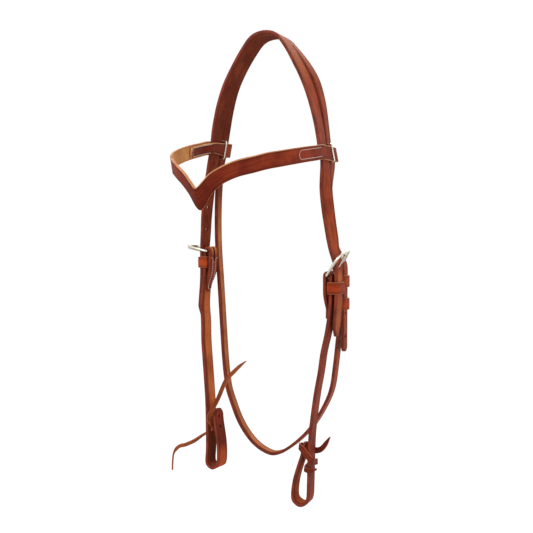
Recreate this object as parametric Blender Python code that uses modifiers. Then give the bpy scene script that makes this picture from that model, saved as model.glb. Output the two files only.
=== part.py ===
"""Western headstall: crown with throatlatch, V browband, cheek straps, buckles, keepers and ties.

X runs across the head, positive to the horse's near (left) side. Y runs backwards, so the browband
is at negative Y. Z is up. The origin is the underside of the crown at the poll. Lengths are metres.
"""

import math

import bmesh
import bpy
from mathutils import Matrix, Vector

# Leather
LEATHER = 0.0032           # thickness of every strap
CLEAR = 0.0003             # gap between pieces that touch
EDGE_ROUND = 0.0006        # rounding of a strap's edges
OVERRUN = 0.006            # how far a cutter reaches past what it cuts
TURN = 0.26                # radians that a strap turns between two stations
REACH = 0.016              # longest stretch of strap between two stations

# Crown
WIDE_BRANCH = 0.019        # front branch, which carries the cheek
NARROW_BRANCH = 0.0120     # rear branch, which carries the throatlatch
SLIT = 0.0006              # gap between the branches
SLIT_START = 0.030         # from the poll along the strap to the end of each slit
BRANCH_SPREAD = 0.0011     # how far a browband loop pushes each branch aside
BRANCH_RISE = 0.0015       # how far the narrow branch stands out from the wide one on the arch
ARCH_SPREAD = 0.0656       # poll to the crown's side at the browband, across
BROW_DROP = 0.1259         # poll to the browband's ends, down, the mean of both sides
BILLET_WIDTH = 0.016       # the wide branch where it is buckled
NEAR_TAIL = 0.0640         # heel bar to the tip of the near cheek billet
OFF_TAIL = 0.0730
NEAR_STAND = 0.0030        # gap between the near billet and the strap it lies on
OFF_STAND = 0.0010
NEAR_TUCK = 0.0025         # how far the tip of the near billet stands in
OFF_FLARE = 0.0032         # how far the tip of the off one stands out
HOLE_PITCH = 0.025
HOLE_RADIUS = 0.0020
NEAR_HOLES = ()                # the near billet shows no hole besides its tongue's
OFF_HOLES = (-1, 1, 2, 3, 4)   # counted upwards from the tongue's hole

# Cheek straps
HEEL_SPREAD = 0.0735       # middle plane to the heel bars of the cheek buckles
HEEL_DROP = 0.2478         # poll to the heel bars, the mean of both sides
SLIP = 0.0122              # how far the crown has slipped to the near side
HEEL_SETBACK = 0.004       # heel bars ahead of the poll's middle
CHEEK_WIDTH = 0.016
CHEEK_DROP = 0.2390        # heel bar to the bottom of the bit loop
CHEEK_FORWARD = 0.026      # how far the bit loop hangs ahead of the heel bar
NEAR_LOOP_SPREAD = 0.0622  # middle plane to the outer leg of a bit loop
OFF_LOOP_SPREAD = 0.0592
NEAR_LOOP_WIDTH = 0.0174   # middle of one leg to the middle of the other
OFF_LOOP_WIDTH = 0.0145
NEAR_LOOP_NECK = 0.0076    # the same where the lace ties the legs
OFF_LOOP_NECK = 0.0062
LOOP_FOLD = 0.064          # bottom of the loop to the end of the folded leg
FOLD_BACK = 0.046          # heel bar to the end of the fold
LACE_HOLE_RADIUS = 0.0017
LACE_HOLE_PITCH = 0.0118
LACE_HOLE_DROP = 0.184     # heel bar to the upper lace hole
NEAR_TWIST = -3.0          # degrees by which the near cheek strap is turned in
OFF_TWIST = -6.0

# Cheek buckles
WIRE = 0.0015              # radius of the frame's wire
FRAME_LENGTH = 0.0278      # heel bar to the wire of the round end
FRAME_SIDE_PLAY = 0.0010   # between the frame's side and the billet
NEAR_TILT = 33.0           # degrees from upright to the near frame, outwards
OFF_TILT = 78.0
TONGUE = 0.0011            # radius of a cheek tongue
TONGUE_OVERHANG = 0.0022   # tip of the tongue beyond the wire's middle
TONGUE_PLAY = 0.0009       # room round a tongue in its billet hole
TONGUE_ROD = 0.011         # length of the rod that cuts that hole
SLOT_WIDTH = 0.0036        # slot for the tongue in the fold
SLOT_LENGTH = 0.011        # heel bar to the end of the slot

# Keepers
KEEPER = 0.0018            # thickness of a keeper
KEEPER_HEIGHT = 0.0124
KEEPER_DROP = 0.0128       # heel bar to the middle of a cheek keeper
KEEPER_PLAY = 0.0005
KEEPER_CORNER = 0.0012
THROAT_KEEPER_HEIGHT = 0.0128
THROAT_KEEPER_DROP = 0.0155
SLIDING_KEEPER_DROP = 0.040
SLIDING_PLAY = 0.0005

# Throatlatch and its buckle
THROAT_WIDTH = 0.011
THROAT_SPREAD = HEEL_SPREAD    # middle plane to the throat buckle's heel bar
THROAT_DROP = 0.2516       # poll to the heel bar
THROAT_SETBACK = 0.020     # heel bar behind the poll's middle
THROAT_TAIL = 0.0915       # heel bar to the tip of the throat billet
THROAT_FOLD_BACK = 0.0305
THROAT_STRAIGHT = 0.062    # below the heel bar, where billet and throatlatch lie together
THROATLATCH_DROP = 0.4656  # poll to the lowest point of the throatlatch
THROAT_WIRE = 0.00125
THROAT_FRAME_LENGTH = 0.0185
THROAT_FRAME_PLAY = 0.0007
THROAT_TILT = 30.0
THROAT_TONGUE = 0.0009

# Browband
BROW_WIDTH = 0.0155
BROW_LEATHER = 0.0026      # the browband is skived thinner
BROW_REACH = 0.130         # how far the front of the browband is ahead of its ends
BROW_ROUND_SHARE = 0.88    # below 1 the front is squarer than half an ellipse
BROW_START = 0.017         # where its curve begins, ahead of the poll's middle
BROW_RISE = 0.0053         # half the difference in height between its ends
BROW_PLAY = 0.0009         # between the crown and each ply
V_DROP = 0.0572            # from the ends to the middle of the V
BROW_TAB = 0.0184          # poll's middle to the middle of the end fold, backwards
NEAR_LINING = 0.090        # from the end fold to the tip of the folded end
OFF_LINING = 0.080
LINING_WIDTH = 0.0112      # the folded ends are cut narrower ahead of the crown
BROW_LOOP_WIRE = 0.0009
BROW_LOOP_HEIGHT = 0.0197  # middle to middle of the wire, above and below the browband
BROW_SLOPE_SHARE = 0.20    # how far the crown's side spreads for each length it drops
V_LEAN = 22.0              # degrees by which the V's top leans forwards

# Ties
NEAR_LACE_WIDTH = 0.0064
OFF_LACE_WIDTH = 0.0046
LACE = 0.0018              # thickness
TIE_DROP = 0.190           # heel bar to the middle of the tie

# The arch of the crown from the poll down one side: across in shares of ARCH_SPREAD, down in
# shares of BROW_DROP
ARCH_SHARES = (
    (0.213, 0.027), (0.396, 0.129), (0.592, 0.286), (0.725, 0.418),
    (0.838, 0.589), (0.932, 0.801), (0.975, 0.928), (1.000, 1.000), (1.048, 1.117),
)
# Degrees by which the rear edge of the crown stands out at those places
NEAR_ARCH_TWIST = (0.0, 3.0, 8.0, 9.0, 5.0, 0.0, -1.0, 0.0, 0.0)
OFF_ARCH_TWIST = (0.0, 0.0, -1.0, -3.0, -5.0, -4.0, 0.0, 0.0, 0.0)

# How far the branches are spread, and how far the narrow one stands out, at the same places
SPREAD_SHARES = (0.0, 0.0, 0.2, 0.4, 0.6, 0.85, 1.0, 1.0, 0.9)
RISE_SHARES = (0.0, 0.05, 0.7, 1.0, 1.0, 0.45, 0.0, 0.0, 0.0)

# The billets from the browband down: shares of HEEL_SPREAD, shares of the way down to the heel bar,
# and degrees by which the rear edge stands out
NEAR_BILLET = (
    (0.942, 0.245, 19.0), (0.980, 0.456, 24.0), (1.034, 0.667, 21.0), (1.067, 0.790, 10.0), (1.117, 0.900, 4.0),
)
OFF_BILLET = ((1.003, 0.27, -4.0), (1.058, 0.55, -8.0), (1.082, 0.78, -5.0))

# The near narrow branch from the browband to the throat buckle: shares of THROAT_SPREAD and
# THROAT_DROP
THROAT_BILLET_SHARES = ((0.900, 0.642), (0.880, 0.702), (0.883, 0.762), (0.915, 0.841), (0.968, 0.915))

# The throatlatch from the end of its straight stretch to its lowest point: shares of THROAT_SPREAD,
# of the way down, and of THROAT_SETBACK
NEAR_THROATLATCH_SHARES = (
    (1.014, 0.096, 1.00), (0.967, 0.299, 1.00), (0.906, 0.482, 0.98), (0.755, 0.645, 0.94),
    (0.578, 0.776, 0.91), (0.426, 0.856, 0.88), (0.268, 0.923, 0.84), (0.122, 0.972, 0.80),
    (-0.035, 0.994, 0.77),
)
# The same from there up the off side, with the drop in shares of THROATLATCH_DROP
OFF_THROATLATCH_SHARES = (
    (-0.198, 0.991, 0.73), (-0.358, 0.975, 0.70), (-0.513, 0.948, 0.67),
    (-0.623, 0.919, 0.64), (-0.727, 0.880, 0.62), (-0.794, 0.850, 0.60), (-0.839, 0.806, 0.59),
    (-0.871, 0.752, 0.59), (-0.899, 0.691, 0.60), (-0.951, 0.590, 0.66), (-1.000, 0.500, 0.72),
    (-1.006, 0.440, 0.70), (-0.978, 0.370, 0.59),
)

# The cheek strap below the keeper: inwards in shares of the way from the heel to the loop, down in
# shares of CHEEK_DROP
NEAR_CHEEK_SHARES = (
    (0.0, 0.125), (0.20, 0.25), (0.46, 0.335), (0.60, 0.42), (0.83, 0.52), (1.06, 0.69), (1.05, 0.795),
)
OFF_CHEEK_SHARES = (
    (-0.03, 0.125), (-0.06, 0.25), (0.09, 0.335), (0.19, 0.42), (0.39, 0.52), (0.73, 0.69), (0.87, 0.795),
)

# The browband's V: along one half, then the drop in shares of V_DROP and the height in shares of
# BROW_WIDTH
V_SHARES = (
    (0.0, 0.0, 1.0), (0.284, 0.147, 1.0), (0.57, 0.322, 1.02), (0.77, 0.491, 1.04),
    (0.858, 0.611, 1.10), (0.924, 0.757, 1.30), (0.973, 0.937, 1.48), (1.0, 1.0, 1.42),
)

# How the inner ply of a fold closes up, from the keeper's lower edge to the fold's end: along it,
# and closed
FOLD_CLOSING_SHARES = ((1.0, 1.0), (0.80, 1.0), (0.60, 0.86), (0.35, 0.34), (0.12, 0.04), (0.0, 0.0))

# How the folded end of the browband closes up ahead of the crown: along it, and closed
CLOSING_SHARES = ((0.0, 0.0), (0.12, 0.12), (0.24, 0.5), (0.36, 0.88), (0.48, 1.0), (0.75, 1.0), (1.0, 1.0))

# Laces in a tie's own directions: outwards in shares of CHEEK_WIDTH, backwards in shares of half
# of it, and down in shares of LOOP_FOLD, from the middle of the tie
NEAR_LACE_SHARES = (
    (1.02, 1.44, -0.33), (0.47, 1.36, -0.125), (0.125, 1.38, -0.085), (-0.36, 1.42, -0.105),
    (-0.72, 1.22, -0.14), (-0.71, 0.0, -0.165), (-0.66, -1.0, -0.175), (-0.32, -1.30, -0.115),
    (0.08, -1.30, -0.010), (0.25, -1.02, 0.045), (0.235, 0.0, 0.075), (0.21, 1.04, 0.085),
    (-0.06, 1.28, 0.105), (-0.26, 0.95, 0.135), (-0.28, 0.0, 0.160), (-0.25, -0.95, 0.180),
    (0.0, -1.31, 0.190), (0.25, -1.02, 0.195), (0.235, -0.12, 0.200), (0.235, 0.75, 0.205),
)
OFF_LACE_SHARES = (
    (-3.60, -1.41, -1.045), (-3.08, -1.36, -0.965), (-2.55, -1.34, -0.865), (-1.90, -1.34, -0.725),
    (-1.16, -1.36, -0.40), (-0.62, -1.34, -0.20), (-0.24, -1.20, -0.06), (-0.20, -0.50, 0.04),
    (-0.20, -0.05, 0.105), (-0.13, 0.0, 0.160), (0.19, -0.05, 0.185), (0.64, -0.30, 0.25),
    (1.27, -0.66, 0.353), (1.95, -0.91, 0.423), (2.45, -1.16, 0.459), (2.80, -1.41, 0.561),
    (2.82, -1.66, 0.697), (2.75, -1.91, 0.859),
)
LACE_TAPER_SHARES = ((0.0, 0.12), (0.06, 0.75), (0.16, 1.0), (0.80, 0.92), (0.92, 0.7), (1.0, 0.25))

ACROSS = Vector((1.0, 0.0, 0.0))
BACK = Vector((0.0, 1.0, 0.0))
UP = Vector((0.0, 0.0, 1.0))

POLL = LEATHER / 2         # height of the leather's middle over the poll
PLY = LEATHER + CLEAR      # middle to middle of two straps that lie on each other
FOLD_RADIUS = WIRE + CLEAR + LEATHER / 2           # middle of the leather round a cheek heel bar
BROW_OVER = (LEATHER + BROW_LEATHER) / 2 + BROW_PLAY   # middle of the crown to the middle of a ply
BROW_PLY = BROW_LEATHER + CLEAR * 2
KEEPER_END = KEEPER_DROP + KEEPER_HEIGHT / 2       # heel bar to a keeper's lower edge
THROAT_KEEPER_END = THROAT_KEEPER_DROP + THROAT_KEEPER_HEIGHT / 2


# Curves

def centripetal(a, b, c, d, share):
    """A point between b and c on the smooth curve through a, b, c and d."""
    times = [0.0]
    for start, end in ((a, b), (b, c), (c, d)):
        times.append(times[-1] + math.sqrt(max((end - start).length, CLEAR)))
    t0, t1, t2, t3 = times
    t = t1 + (t2 - t1) * share
    ab = a.lerp(b, (t - t0) / (t1 - t0))
    bc = b.lerp(c, (t - t1) / (t2 - t1))
    cd = c.lerp(d, (t - t2) / (t3 - t2))
    abc = ab.lerp(bc, (t - t0) / (t2 - t0))
    bcd = bc.lerp(cd, (t - t1) / (t3 - t1))
    return abc.lerp(bcd, (t - t1) / (t2 - t1))


class Route:
    """A smooth line through chosen points, with the direction of a strap's width along it."""

    def __init__(self, knots, outside=1.0, square=True):
        """Each knot is a point and a width direction, which is squared to the line if wanted."""
        self.outside = outside
        self.square = square
        points = [point for point, hint in knots]
        padded = [points[0] * 2 - points[1]] + points + [points[-1] * 2 - points[-2]]
        self.points = []
        self.hints = []
        self.knots = []
        fine = 10
        for i in range(len(points) - 1):
            for k in range(fine):
                self.points.append(centripetal(*padded[i:i + 4], k / fine))
                self.hints.append(knots[i][1].lerp(knots[i + 1][1], k / fine))
        self.points.append(points[-1])
        self.hints.append(knots[-1][1])
        self.lengths = [0.0]
        for start, end in zip(self.points, self.points[1:]):
            self.lengths.append(self.lengths[-1] + (end - start).length)
        self.knots = [self.lengths[i * fine] for i in range(len(points))]
        self.length = self.lengths[-1]

    def find(self, distance):
        """The span that holds a distance along the line, and the share of it."""
        distance = min(max(distance, 0.0), self.length)
        low, high = 0, len(self.lengths) - 2
        while low < high:
            middle = (low + high + 1) // 2
            if self.lengths[middle] <= distance:
                low = middle
            else:
                high = middle - 1
        return low, (distance - self.lengths[low]) / (self.lengths[low + 1] - self.lengths[low])

    def heading(self, index):
        """The line's direction at one of its fine points."""
        last = len(self.points) - 1
        return (self.points[min(index + 1, last)] - self.points[max(index - 1, 0)]).normalized()

    def at(self, distance):
        """Point, direction, width direction and outward normal at a distance."""
        i, share = self.find(distance)
        point = self.points[i].lerp(self.points[i + 1], share)
        along = self.heading(i).lerp(self.heading(i + 1), share).normalized()
        hint = self.hints[i].lerp(self.hints[i + 1], share)
        if self.square:
            hint = hint - along * hint.dot(along)
        width = hint.normalized()
        return point, along, width, along.cross(width).normalized() * self.outside

    def stations(self, start, end, turn=TURN, reach=REACH):
        """Distances that are close where the line bends and far apart where it doesn't."""
        fine = CLEAR * 2
        count = max(2, math.ceil((end - start) / fine))
        found = [start]
        anchor = self.at(start)
        for k in range(1, count):
            distance = start + (end - start) * k / count
            here = self.at(distance)
            bend = max(here[1].angle(anchor[1]), here[2].angle(anchor[2]))
            if bend >= turn or distance - found[-1] >= reach:
                found.append(distance)
                anchor = here
        if end - found[-1] < reach / 8 and len(found) > 1:
            found.pop()
        return found + [end]

    def near(self, place, start=0.0, end=None):
        """The distance of the point nearest to a place, within a stretch of the line."""
        end = self.length if end is None else end
        spans = [i for i in range(len(self.points) - 1) if self.lengths[i + 1] >= start and self.lengths[i] <= end]
        nearest = []
        for i in spans:
            span = self.points[i + 1] - self.points[i]
            share = min(max((place - self.points[i]).dot(span) / span.length_squared, 0.0), 1.0)
            gap = (self.points[i] + span * share - place).length
            nearest.append((gap, self.lengths[i] + span.length * share))
        return min(nearest)[1]

    def matrix(self, distance):
        """A frame on the line: x outwards, y along the width, z against the line's direction."""
        point, along, width, normal = self.at(distance)
        return frame(point, normal, width, normal.cross(width))


def frame(point, x, y, z):
    """A matrix from a point and three directions."""
    matrix = Matrix((x, y, z)).transposed().to_4x4()
    matrix.translation = point
    return matrix


def table(shares, share):
    """The value at a share, from rows of a share and a value."""
    for (a, low), (b, high) in zip(shares, shares[1:]):
        if share <= b:
            return low + (high - low) * max(share - a, 0.0) / (b - a)
    return shares[-1][1]


def mirrored(point, sign):
    """A near-side point on the side that the sign names."""
    return Vector((point[0] * sign, point[1], point[2]))


def turned(degrees, sign):
    """The width direction of a strap that is turned about the vertical."""
    angle = math.radians(degrees)
    return Vector((math.sin(angle) * sign, math.cos(angle), 0.0))


# Building

def clear_scene():
    for item in list(bpy.data.objects):
        bpy.data.objects.remove(item)


def collection(name):
    made = bpy.data.collections.new(name)
    bpy.context.scene.collection.children.link(made)
    return made


def material(name, color, roughness, metallic=0.0):
    made = bpy.data.materials.new(name)
    made.use_nodes = True
    shader = made.node_tree.nodes["Principled BSDF"]
    shader.inputs["Base Color"].default_value = (*color, 1.0)
    shader.inputs["Roughness"].default_value = roughness
    shader.inputs["Metallic"].default_value = metallic
    made.diffuse_color = (*color, 1.0)
    return made


def leather(name, color=(0.30, 0.075, 0.028)):
    return material(name, color, 0.45)


def steel(name):
    return material(name, (0.75, 0.74, 0.72), 0.18, 1.0)


def place(name, data, finish):
    """Put a mesh or curve in the model's collection under its node name."""
    item = bpy.data.objects.new(name, data)
    data.materials.append(finish)
    bpy.data.collections["western_headstall"].objects.link(item)
    return item


def mesh_from(bm, name):
    data = bpy.data.meshes.new(name)
    bmesh.ops.recalc_face_normals(bm, faces=bm.faces)
    bm.to_mesh(data)
    bm.free()
    return data


def grow(bm, row, places):
    """Extrude the edges along a row of vertices to the next row of places."""
    edges = [bm.edges.get(pair) for pair in zip(row, row[1:])]
    made = bmesh.ops.extrude_edge_only(bm, edges=edges)["geom"]
    new = {item for item in made if isinstance(item, bmesh.types.BMVert)}
    following = []
    for old, spot in zip(row, places):
        vert = next(e.other_vert(old) for e in old.link_edges if e.other_vert(old) in new)
        vert.co = spot
        following.append(vert)
    return following


def first_row(bm, places):
    """Vertices joined by edges, the start of a strip."""
    row = [bm.verts.new(spot) for spot in places]
    for pair in zip(row, row[1:]):
        bm.edges.new(pair)
    return row


def edges_at(route, distance, front, rear):
    """The strap's two edge points at a distance, from its offsets along the width."""
    point, along, width, normal = route.at(distance)
    return [point + width * front, point + width * rear]


def strip(bm, route, start, end, width, turn=TURN, reach=REACH, row=None):
    """A strip of leather along a route: width gives the front and rear offsets at a distance."""
    distances = route.stations(start, end, turn, reach)
    if row is None:
        row = first_row(bm, edges_at(route, start, *width(start)))
    for distance in distances[1:]:
        row = grow(bm, row, edges_at(route, distance, *width(distance)))
    return row


def finish_strap(item, thickness=LEATHER, rounding=EDGE_ROUND):
    """Give a strip its thickness and rounded edges."""
    wall = item.modifiers.new("Leather thickness", "SOLIDIFY")
    wall.thickness = thickness
    wall.offset = 0.0
    wall.use_even_offset = True
    edge = item.modifiers.new("Rounded edges", "BEVEL")
    edge.width = rounding
    edge.segments = 1
    edge.limit_method = "ANGLE"
    edge.angle_limit = math.radians(60)
    return item


def strap(name, route, width, finish, start=0.0, end=None, thickness=LEATHER, rounding=EDGE_ROUND,
          turn=TURN, reach=REACH):
    bm = bmesh.new()
    strip(bm, route, start, route.length if end is None else end, width, turn, reach)
    return finish_strap(place(name, mesh_from(bm, name), finish), thickness, rounding)


def rods(places, name):
    """A hidden cutter of round rods: each place is a matrix with its z along the rod, a radius and
    a length."""
    bm = bmesh.new()
    for matrix, radius, length in places:
        bmesh.ops.create_cone(bm, cap_ends=True, segments=12, radius1=radius, radius2=radius,
                              depth=length, matrix=matrix)
    return hidden(mesh_from(bm, name), name)


def blocks(places, name):
    """A hidden cutter of boxes: each place is a matrix and three lengths."""
    bm = bmesh.new()
    for matrix, lengths in places:
        scale = Matrix.Diagonal((*lengths, 1.0))
        bmesh.ops.create_cube(bm, size=1.0, matrix=matrix @ scale)
    return hidden(mesh_from(bm, name), name)


def hidden(data, name):
    cutter = bpy.data.objects.new(name, data)
    cutter.hide_render = True
    cutter.display_type = "WIRE"
    bpy.data.collections["cutters"].objects.link(cutter)
    return cutter


def cut(item, cutter):
    step = item.modifiers.new("Cut by " + cutter.name, "BOOLEAN")
    step.operation = "DIFFERENCE"
    step.solver = "EXACT"
    step.object = cutter


def tube(name, points, radius, finish, matrix, closed=False, radii=None):
    """Round wire through local points, placed by a matrix."""
    data = bpy.data.curves.new(name, "CURVE")
    data.dimensions = "3D"
    line = data.splines.new("POLY")
    line.points.add(len(points) - 1)
    for i, (target, point) in enumerate(zip(line.points, points)):
        target.co = (*point, 1.0)
        target.radius = radii[i] if radii else 1.0
    line.use_cyclic_u = closed
    data.bevel_depth = radius
    data.bevel_resolution = 2
    data.use_fill_caps = not closed
    item = place(name, data, finish)
    item.matrix_world = matrix
    return item


def arc(centre_x, centre_y, radius, start, end, count):
    """Points on an arc in a plane, angles in degrees."""
    points = []
    for k in range(count + 1):
        angle = math.radians(start + (end - start) * k / count)
        points.append((centre_x + radius * math.cos(angle), centre_y + radius * math.sin(angle)))
    return points


def rounded_rectangle(half_x, half_y, corner, count=3):
    points = []
    for k, (sx, sy) in enumerate(((1, 1), (-1, 1), (-1, -1), (1, -1))):
        points += arc(sx * (half_x - corner), sy * (half_y - corner), corner, k * 90, k * 90 + 90, count)
    return points


def flat_ring(name, inner, outer, height, matrix, finish):
    """A band of even height between two flat outlines."""
    data = bpy.data.curves.new(name, "CURVE")
    data.dimensions = "2D"
    data.fill_mode = "BOTH"
    data.extrude = height / 2
    for outline in (outer, inner):
        line = data.splines.new("POLY")
        line.points.add(len(outline) - 1)
        for target, (x, y) in zip(line.points, outline):
            target.co = (x, y, 0.0, 1.0)
        line.use_cyclic_u = True
    item = place(name, data, finish)
    item.matrix_world = matrix
    return item


# Places that several pieces share

class Side:
    """One side of the headstall: its sign along X and what differs between the sides."""

    def __init__(self, name, sign, slip, stand, flare, tail, twist, tilt, spread, loop, neck, lining, arch_twist,
                 billet, cheek):
        self.name = name
        self.sign = sign
        self.lining = lining
        self.arch_twist = arch_twist
        self.billet = billet
        self.billet_pass = FOLD_RADIUS + LEATHER + stand
        self.drop = HEEL_DROP + SLIP * slip
        self.flare = flare
        self.tail = tail
        self.twist = twist
        self.spread = spread
        self.loop = loop
        self.neck = neck
        self.cheek = cheek
        self.tilt = math.radians(tilt)
        self.heel = mirrored((HEEL_SPREAD, -HEEL_SETBACK, POLL - self.drop), sign)
        self.outwards = ACROSS * sign
        # The browband's end lies where the crown is a little wider or narrower than at the mean level
        self.brow_shift = BROW_RISE * sign * BROW_SLOPE_SHARE

    def buckle_matrix(self):
        """The cheek buckle: x along the heel bar, y to its free end, z to its outer face."""
        return buckle_frame(self.heel, self.tilt, self.sign)


def buckle_frame(heel, tilt, sign):
    """x backwards along the heel bar, y from the bar to the free end, z to the outer face."""
    length = ACROSS * (math.sin(tilt) * sign) + UP * math.cos(tilt)
    outer = ACROSS * (math.cos(tilt) * sign) - UP * math.sin(tilt)
    return frame(heel, length.cross(outer), length, outer)


NEAR = Side("near", 1.0, 1.0, NEAR_STAND, -NEAR_TUCK, NEAR_TAIL, NEAR_TWIST, NEAR_TILT,
            NEAR_LOOP_SPREAD, NEAR_LOOP_WIDTH, NEAR_LOOP_NECK, NEAR_LINING, NEAR_ARCH_TWIST,
            NEAR_BILLET, NEAR_CHEEK_SHARES)
OFF = Side("off", -1.0, -1.0, OFF_STAND, OFF_FLARE, OFF_TAIL, OFF_TWIST, OFF_TILT,
           OFF_LOOP_SPREAD, OFF_LOOP_WIDTH, OFF_LOOP_NECK, OFF_LINING, OFF_ARCH_TWIST,
           OFF_BILLET, OFF_CHEEK_SHARES)

THROAT_FOLD_RADIUS = THROAT_WIRE + CLEAR + LEATHER / 2
THROAT_PASS = THROAT_FOLD_RADIUS + PLY + CLEAR
THROAT_HEEL = Vector((THROAT_SPREAD, THROAT_SETBACK, POLL - THROAT_DROP))

# Edges of the branches where the crown is whole, from its front edge backwards
CROWN_WIDTH = WIDE_BRANCH + SLIT + NARROW_BRANCH
WIDE_MIDDLE = -CROWN_WIDTH / 2 + WIDE_BRANCH / 2
NARROW_MIDDLE = CROWN_WIDTH / 2 - NARROW_BRANCH / 2
SLIT_MIDDLE = -CROWN_WIDTH / 2 + WIDE_BRANCH + SLIT / 2


def arch(side, setback, spread, rise):
    """Knots of a branch down one side of the arch, from the poll."""
    middle = [(Vector((0.0, 0.0, POLL)), BACK)]
    for across, down in ARCH_SHARES:
        middle.append((mirrored((across * ARCH_SPREAD, 0.0, POLL - down * BROW_DROP), side.sign), BACK))
    line = Route(middle, side.sign)
    knots = []
    rows = zip(line.knots[1:], side.arch_twist, SPREAD_SHARES, RISE_SHARES)
    for distance, degrees, spread_share, rise_share in rows:
        point, along, width, normal = line.at(distance)
        angle = math.radians(degrees)
        width = width * math.cos(angle) + normal * math.sin(angle)
        out = normal * (rise * rise_share)
        knots.append((point + width * (setback + spread * spread_share) + out, width))
    return knots


def billet(side):
    """Knots of a cheek billet, from the browband down to its tip."""
    top = ARCH_SHARES[-1][1] * BROW_DROP
    knots = []
    for across, down, twist in side.billet:
        drop = top + (side.drop - top) * down
        setback = WIDE_MIDDLE + (-HEEL_SETBACK - WIDE_MIDDLE) * min(down * 1.2, 1.0)
        point = Vector((across * HEEL_SPREAD, setback, POLL - drop))
        knots.append((mirrored(point, side.sign), mirrored(turned(twist, 1.0), side.sign)))
    heel = Vector((HEEL_SPREAD + side.billet_pass, -HEEL_SETBACK, POLL - side.drop))
    knots.append((mirrored(heel, side.sign), BACK))
    for share, out in ((0.20, 0.0), (0.37, 0.0), (0.50, 0.12), (0.66, 0.45), (0.84, 0.80), (1.0, 1.0)):
        point = heel + ACROSS * (side.flare * out) - UP * (side.tail * share)
        knots.append((mirrored(point, side.sign), BACK))
    return knots


def wide_route():
    """The wide branch: off billet tip, over the poll, near billet tip."""
    off = arch(OFF, WIDE_MIDDLE, -BRANCH_SPREAD, 0.0) + billet(OFF)
    near = arch(NEAR, WIDE_MIDDLE, -BRANCH_SPREAD, 0.0) + billet(NEAR)
    return Route(off[::-1] + [(Vector((0.0, WIDE_MIDDLE, POLL)), BACK)] + near)


def throat_billet():
    """Knots of the throat billet, from the browband to its tip."""
    low_setback = NARROW_MIDDLE
    knots = []
    last = len(THROAT_BILLET_SHARES)
    for k, (across, down) in enumerate(THROAT_BILLET_SHARES):
        setback = low_setback + (THROAT_SETBACK - low_setback) * (k + 1) / (last + 1)
        point = Vector((across * THROAT_SPREAD, setback, POLL - down * THROAT_DROP))
        knots.append((point, BACK))
    heel = THROAT_HEEL + ACROSS * THROAT_PASS
    knots.append((THROAT_HEEL + (ACROSS + UP) * (THROAT_PASS * 0.79), BACK))
    knots.append((heel, BACK))
    for share in (0.25, 0.5, 0.75, 1.0):
        knots.append((heel - UP * (THROAT_TAIL * share), BACK))
    return knots


def throatlatch():
    """Knots of the throatlatch from its fold on the near side to the off side of the crown."""
    knots = []
    top = THROAT_HEEL + ACROSS * THROAT_FOLD_RADIUS
    for share in (0.0, 0.25, 0.5, 0.75, 1.0):
        knots.append((top - UP * (THROAT_STRAIGHT * share), BACK))
    knots = fold(THROAT_HEEL, THROAT_FOLD_RADIUS, THROAT_FOLD_BACK, THROAT_KEEPER_END, knots) + knots[1:]
    straight_end = THROAT_DROP + THROAT_STRAIGHT
    rows = [(across, straight_end + (THROATLATCH_DROP - straight_end) * down, setback)
            for across, down, setback in NEAR_THROATLATCH_SHARES]
    rows += [(across, down * THROATLATCH_DROP, setback) for across, down, setback in OFF_THROATLATCH_SHARES]
    for across, drop, setback in rows:
        knots.append((Vector((across * THROAT_SPREAD, setback * THROAT_SETBACK, POLL - drop)), BACK))
    return knots


def fold(heel, radius, length, keeper_end, main):
    """Knots of a fold round a heel bar: up the inner ply and over the bar, ending at its outer side.

    The inner ply stays clear of the main one while it passes the bar and the keeper, then closes up."""
    line = Route(main)
    knots = []
    for share, closing in FOLD_CLOSING_SHARES:
        distance = keeper_end + (length - keeper_end) * share
        point, along, width, normal = line.at(distance)
        knots.append((point - normal * (2 * radius + closing * (PLY - 2 * radius)), width))
    point, along, width, normal = line.at(keeper_end / 2)
    knots.append((point - normal * (2 * radius), width))
    for degrees in (180, 150, 120, 90, 60, 30, 0):
        angle = math.radians(degrees)
        knots.append((heel + ACROSS * (radius * math.cos(angle)) + UP * (radius * math.sin(angle)), BACK))
    return knots


def narrow_route():
    """The narrow branch: throat fold, throatlatch, off side, poll, near throat billet."""
    off = arch(OFF, NARROW_MIDDLE, BRANCH_SPREAD, BRANCH_RISE)
    near = arch(NEAR, NARROW_MIDDLE, BRANCH_SPREAD, BRANCH_RISE) + throat_billet()
    return Route(throatlatch() + off[::-1] + [(Vector((0.0, NARROW_MIDDLE, POLL)), BACK)] + near)


def forward(down):
    """How far ahead of its heel bar a cheek strap hangs: it is straight as far as the keeper."""
    return CHEEK_FORWARD * max(down - KEEPER_END, 0.0) / (CHEEK_DROP - KEEPER_END)


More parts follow.
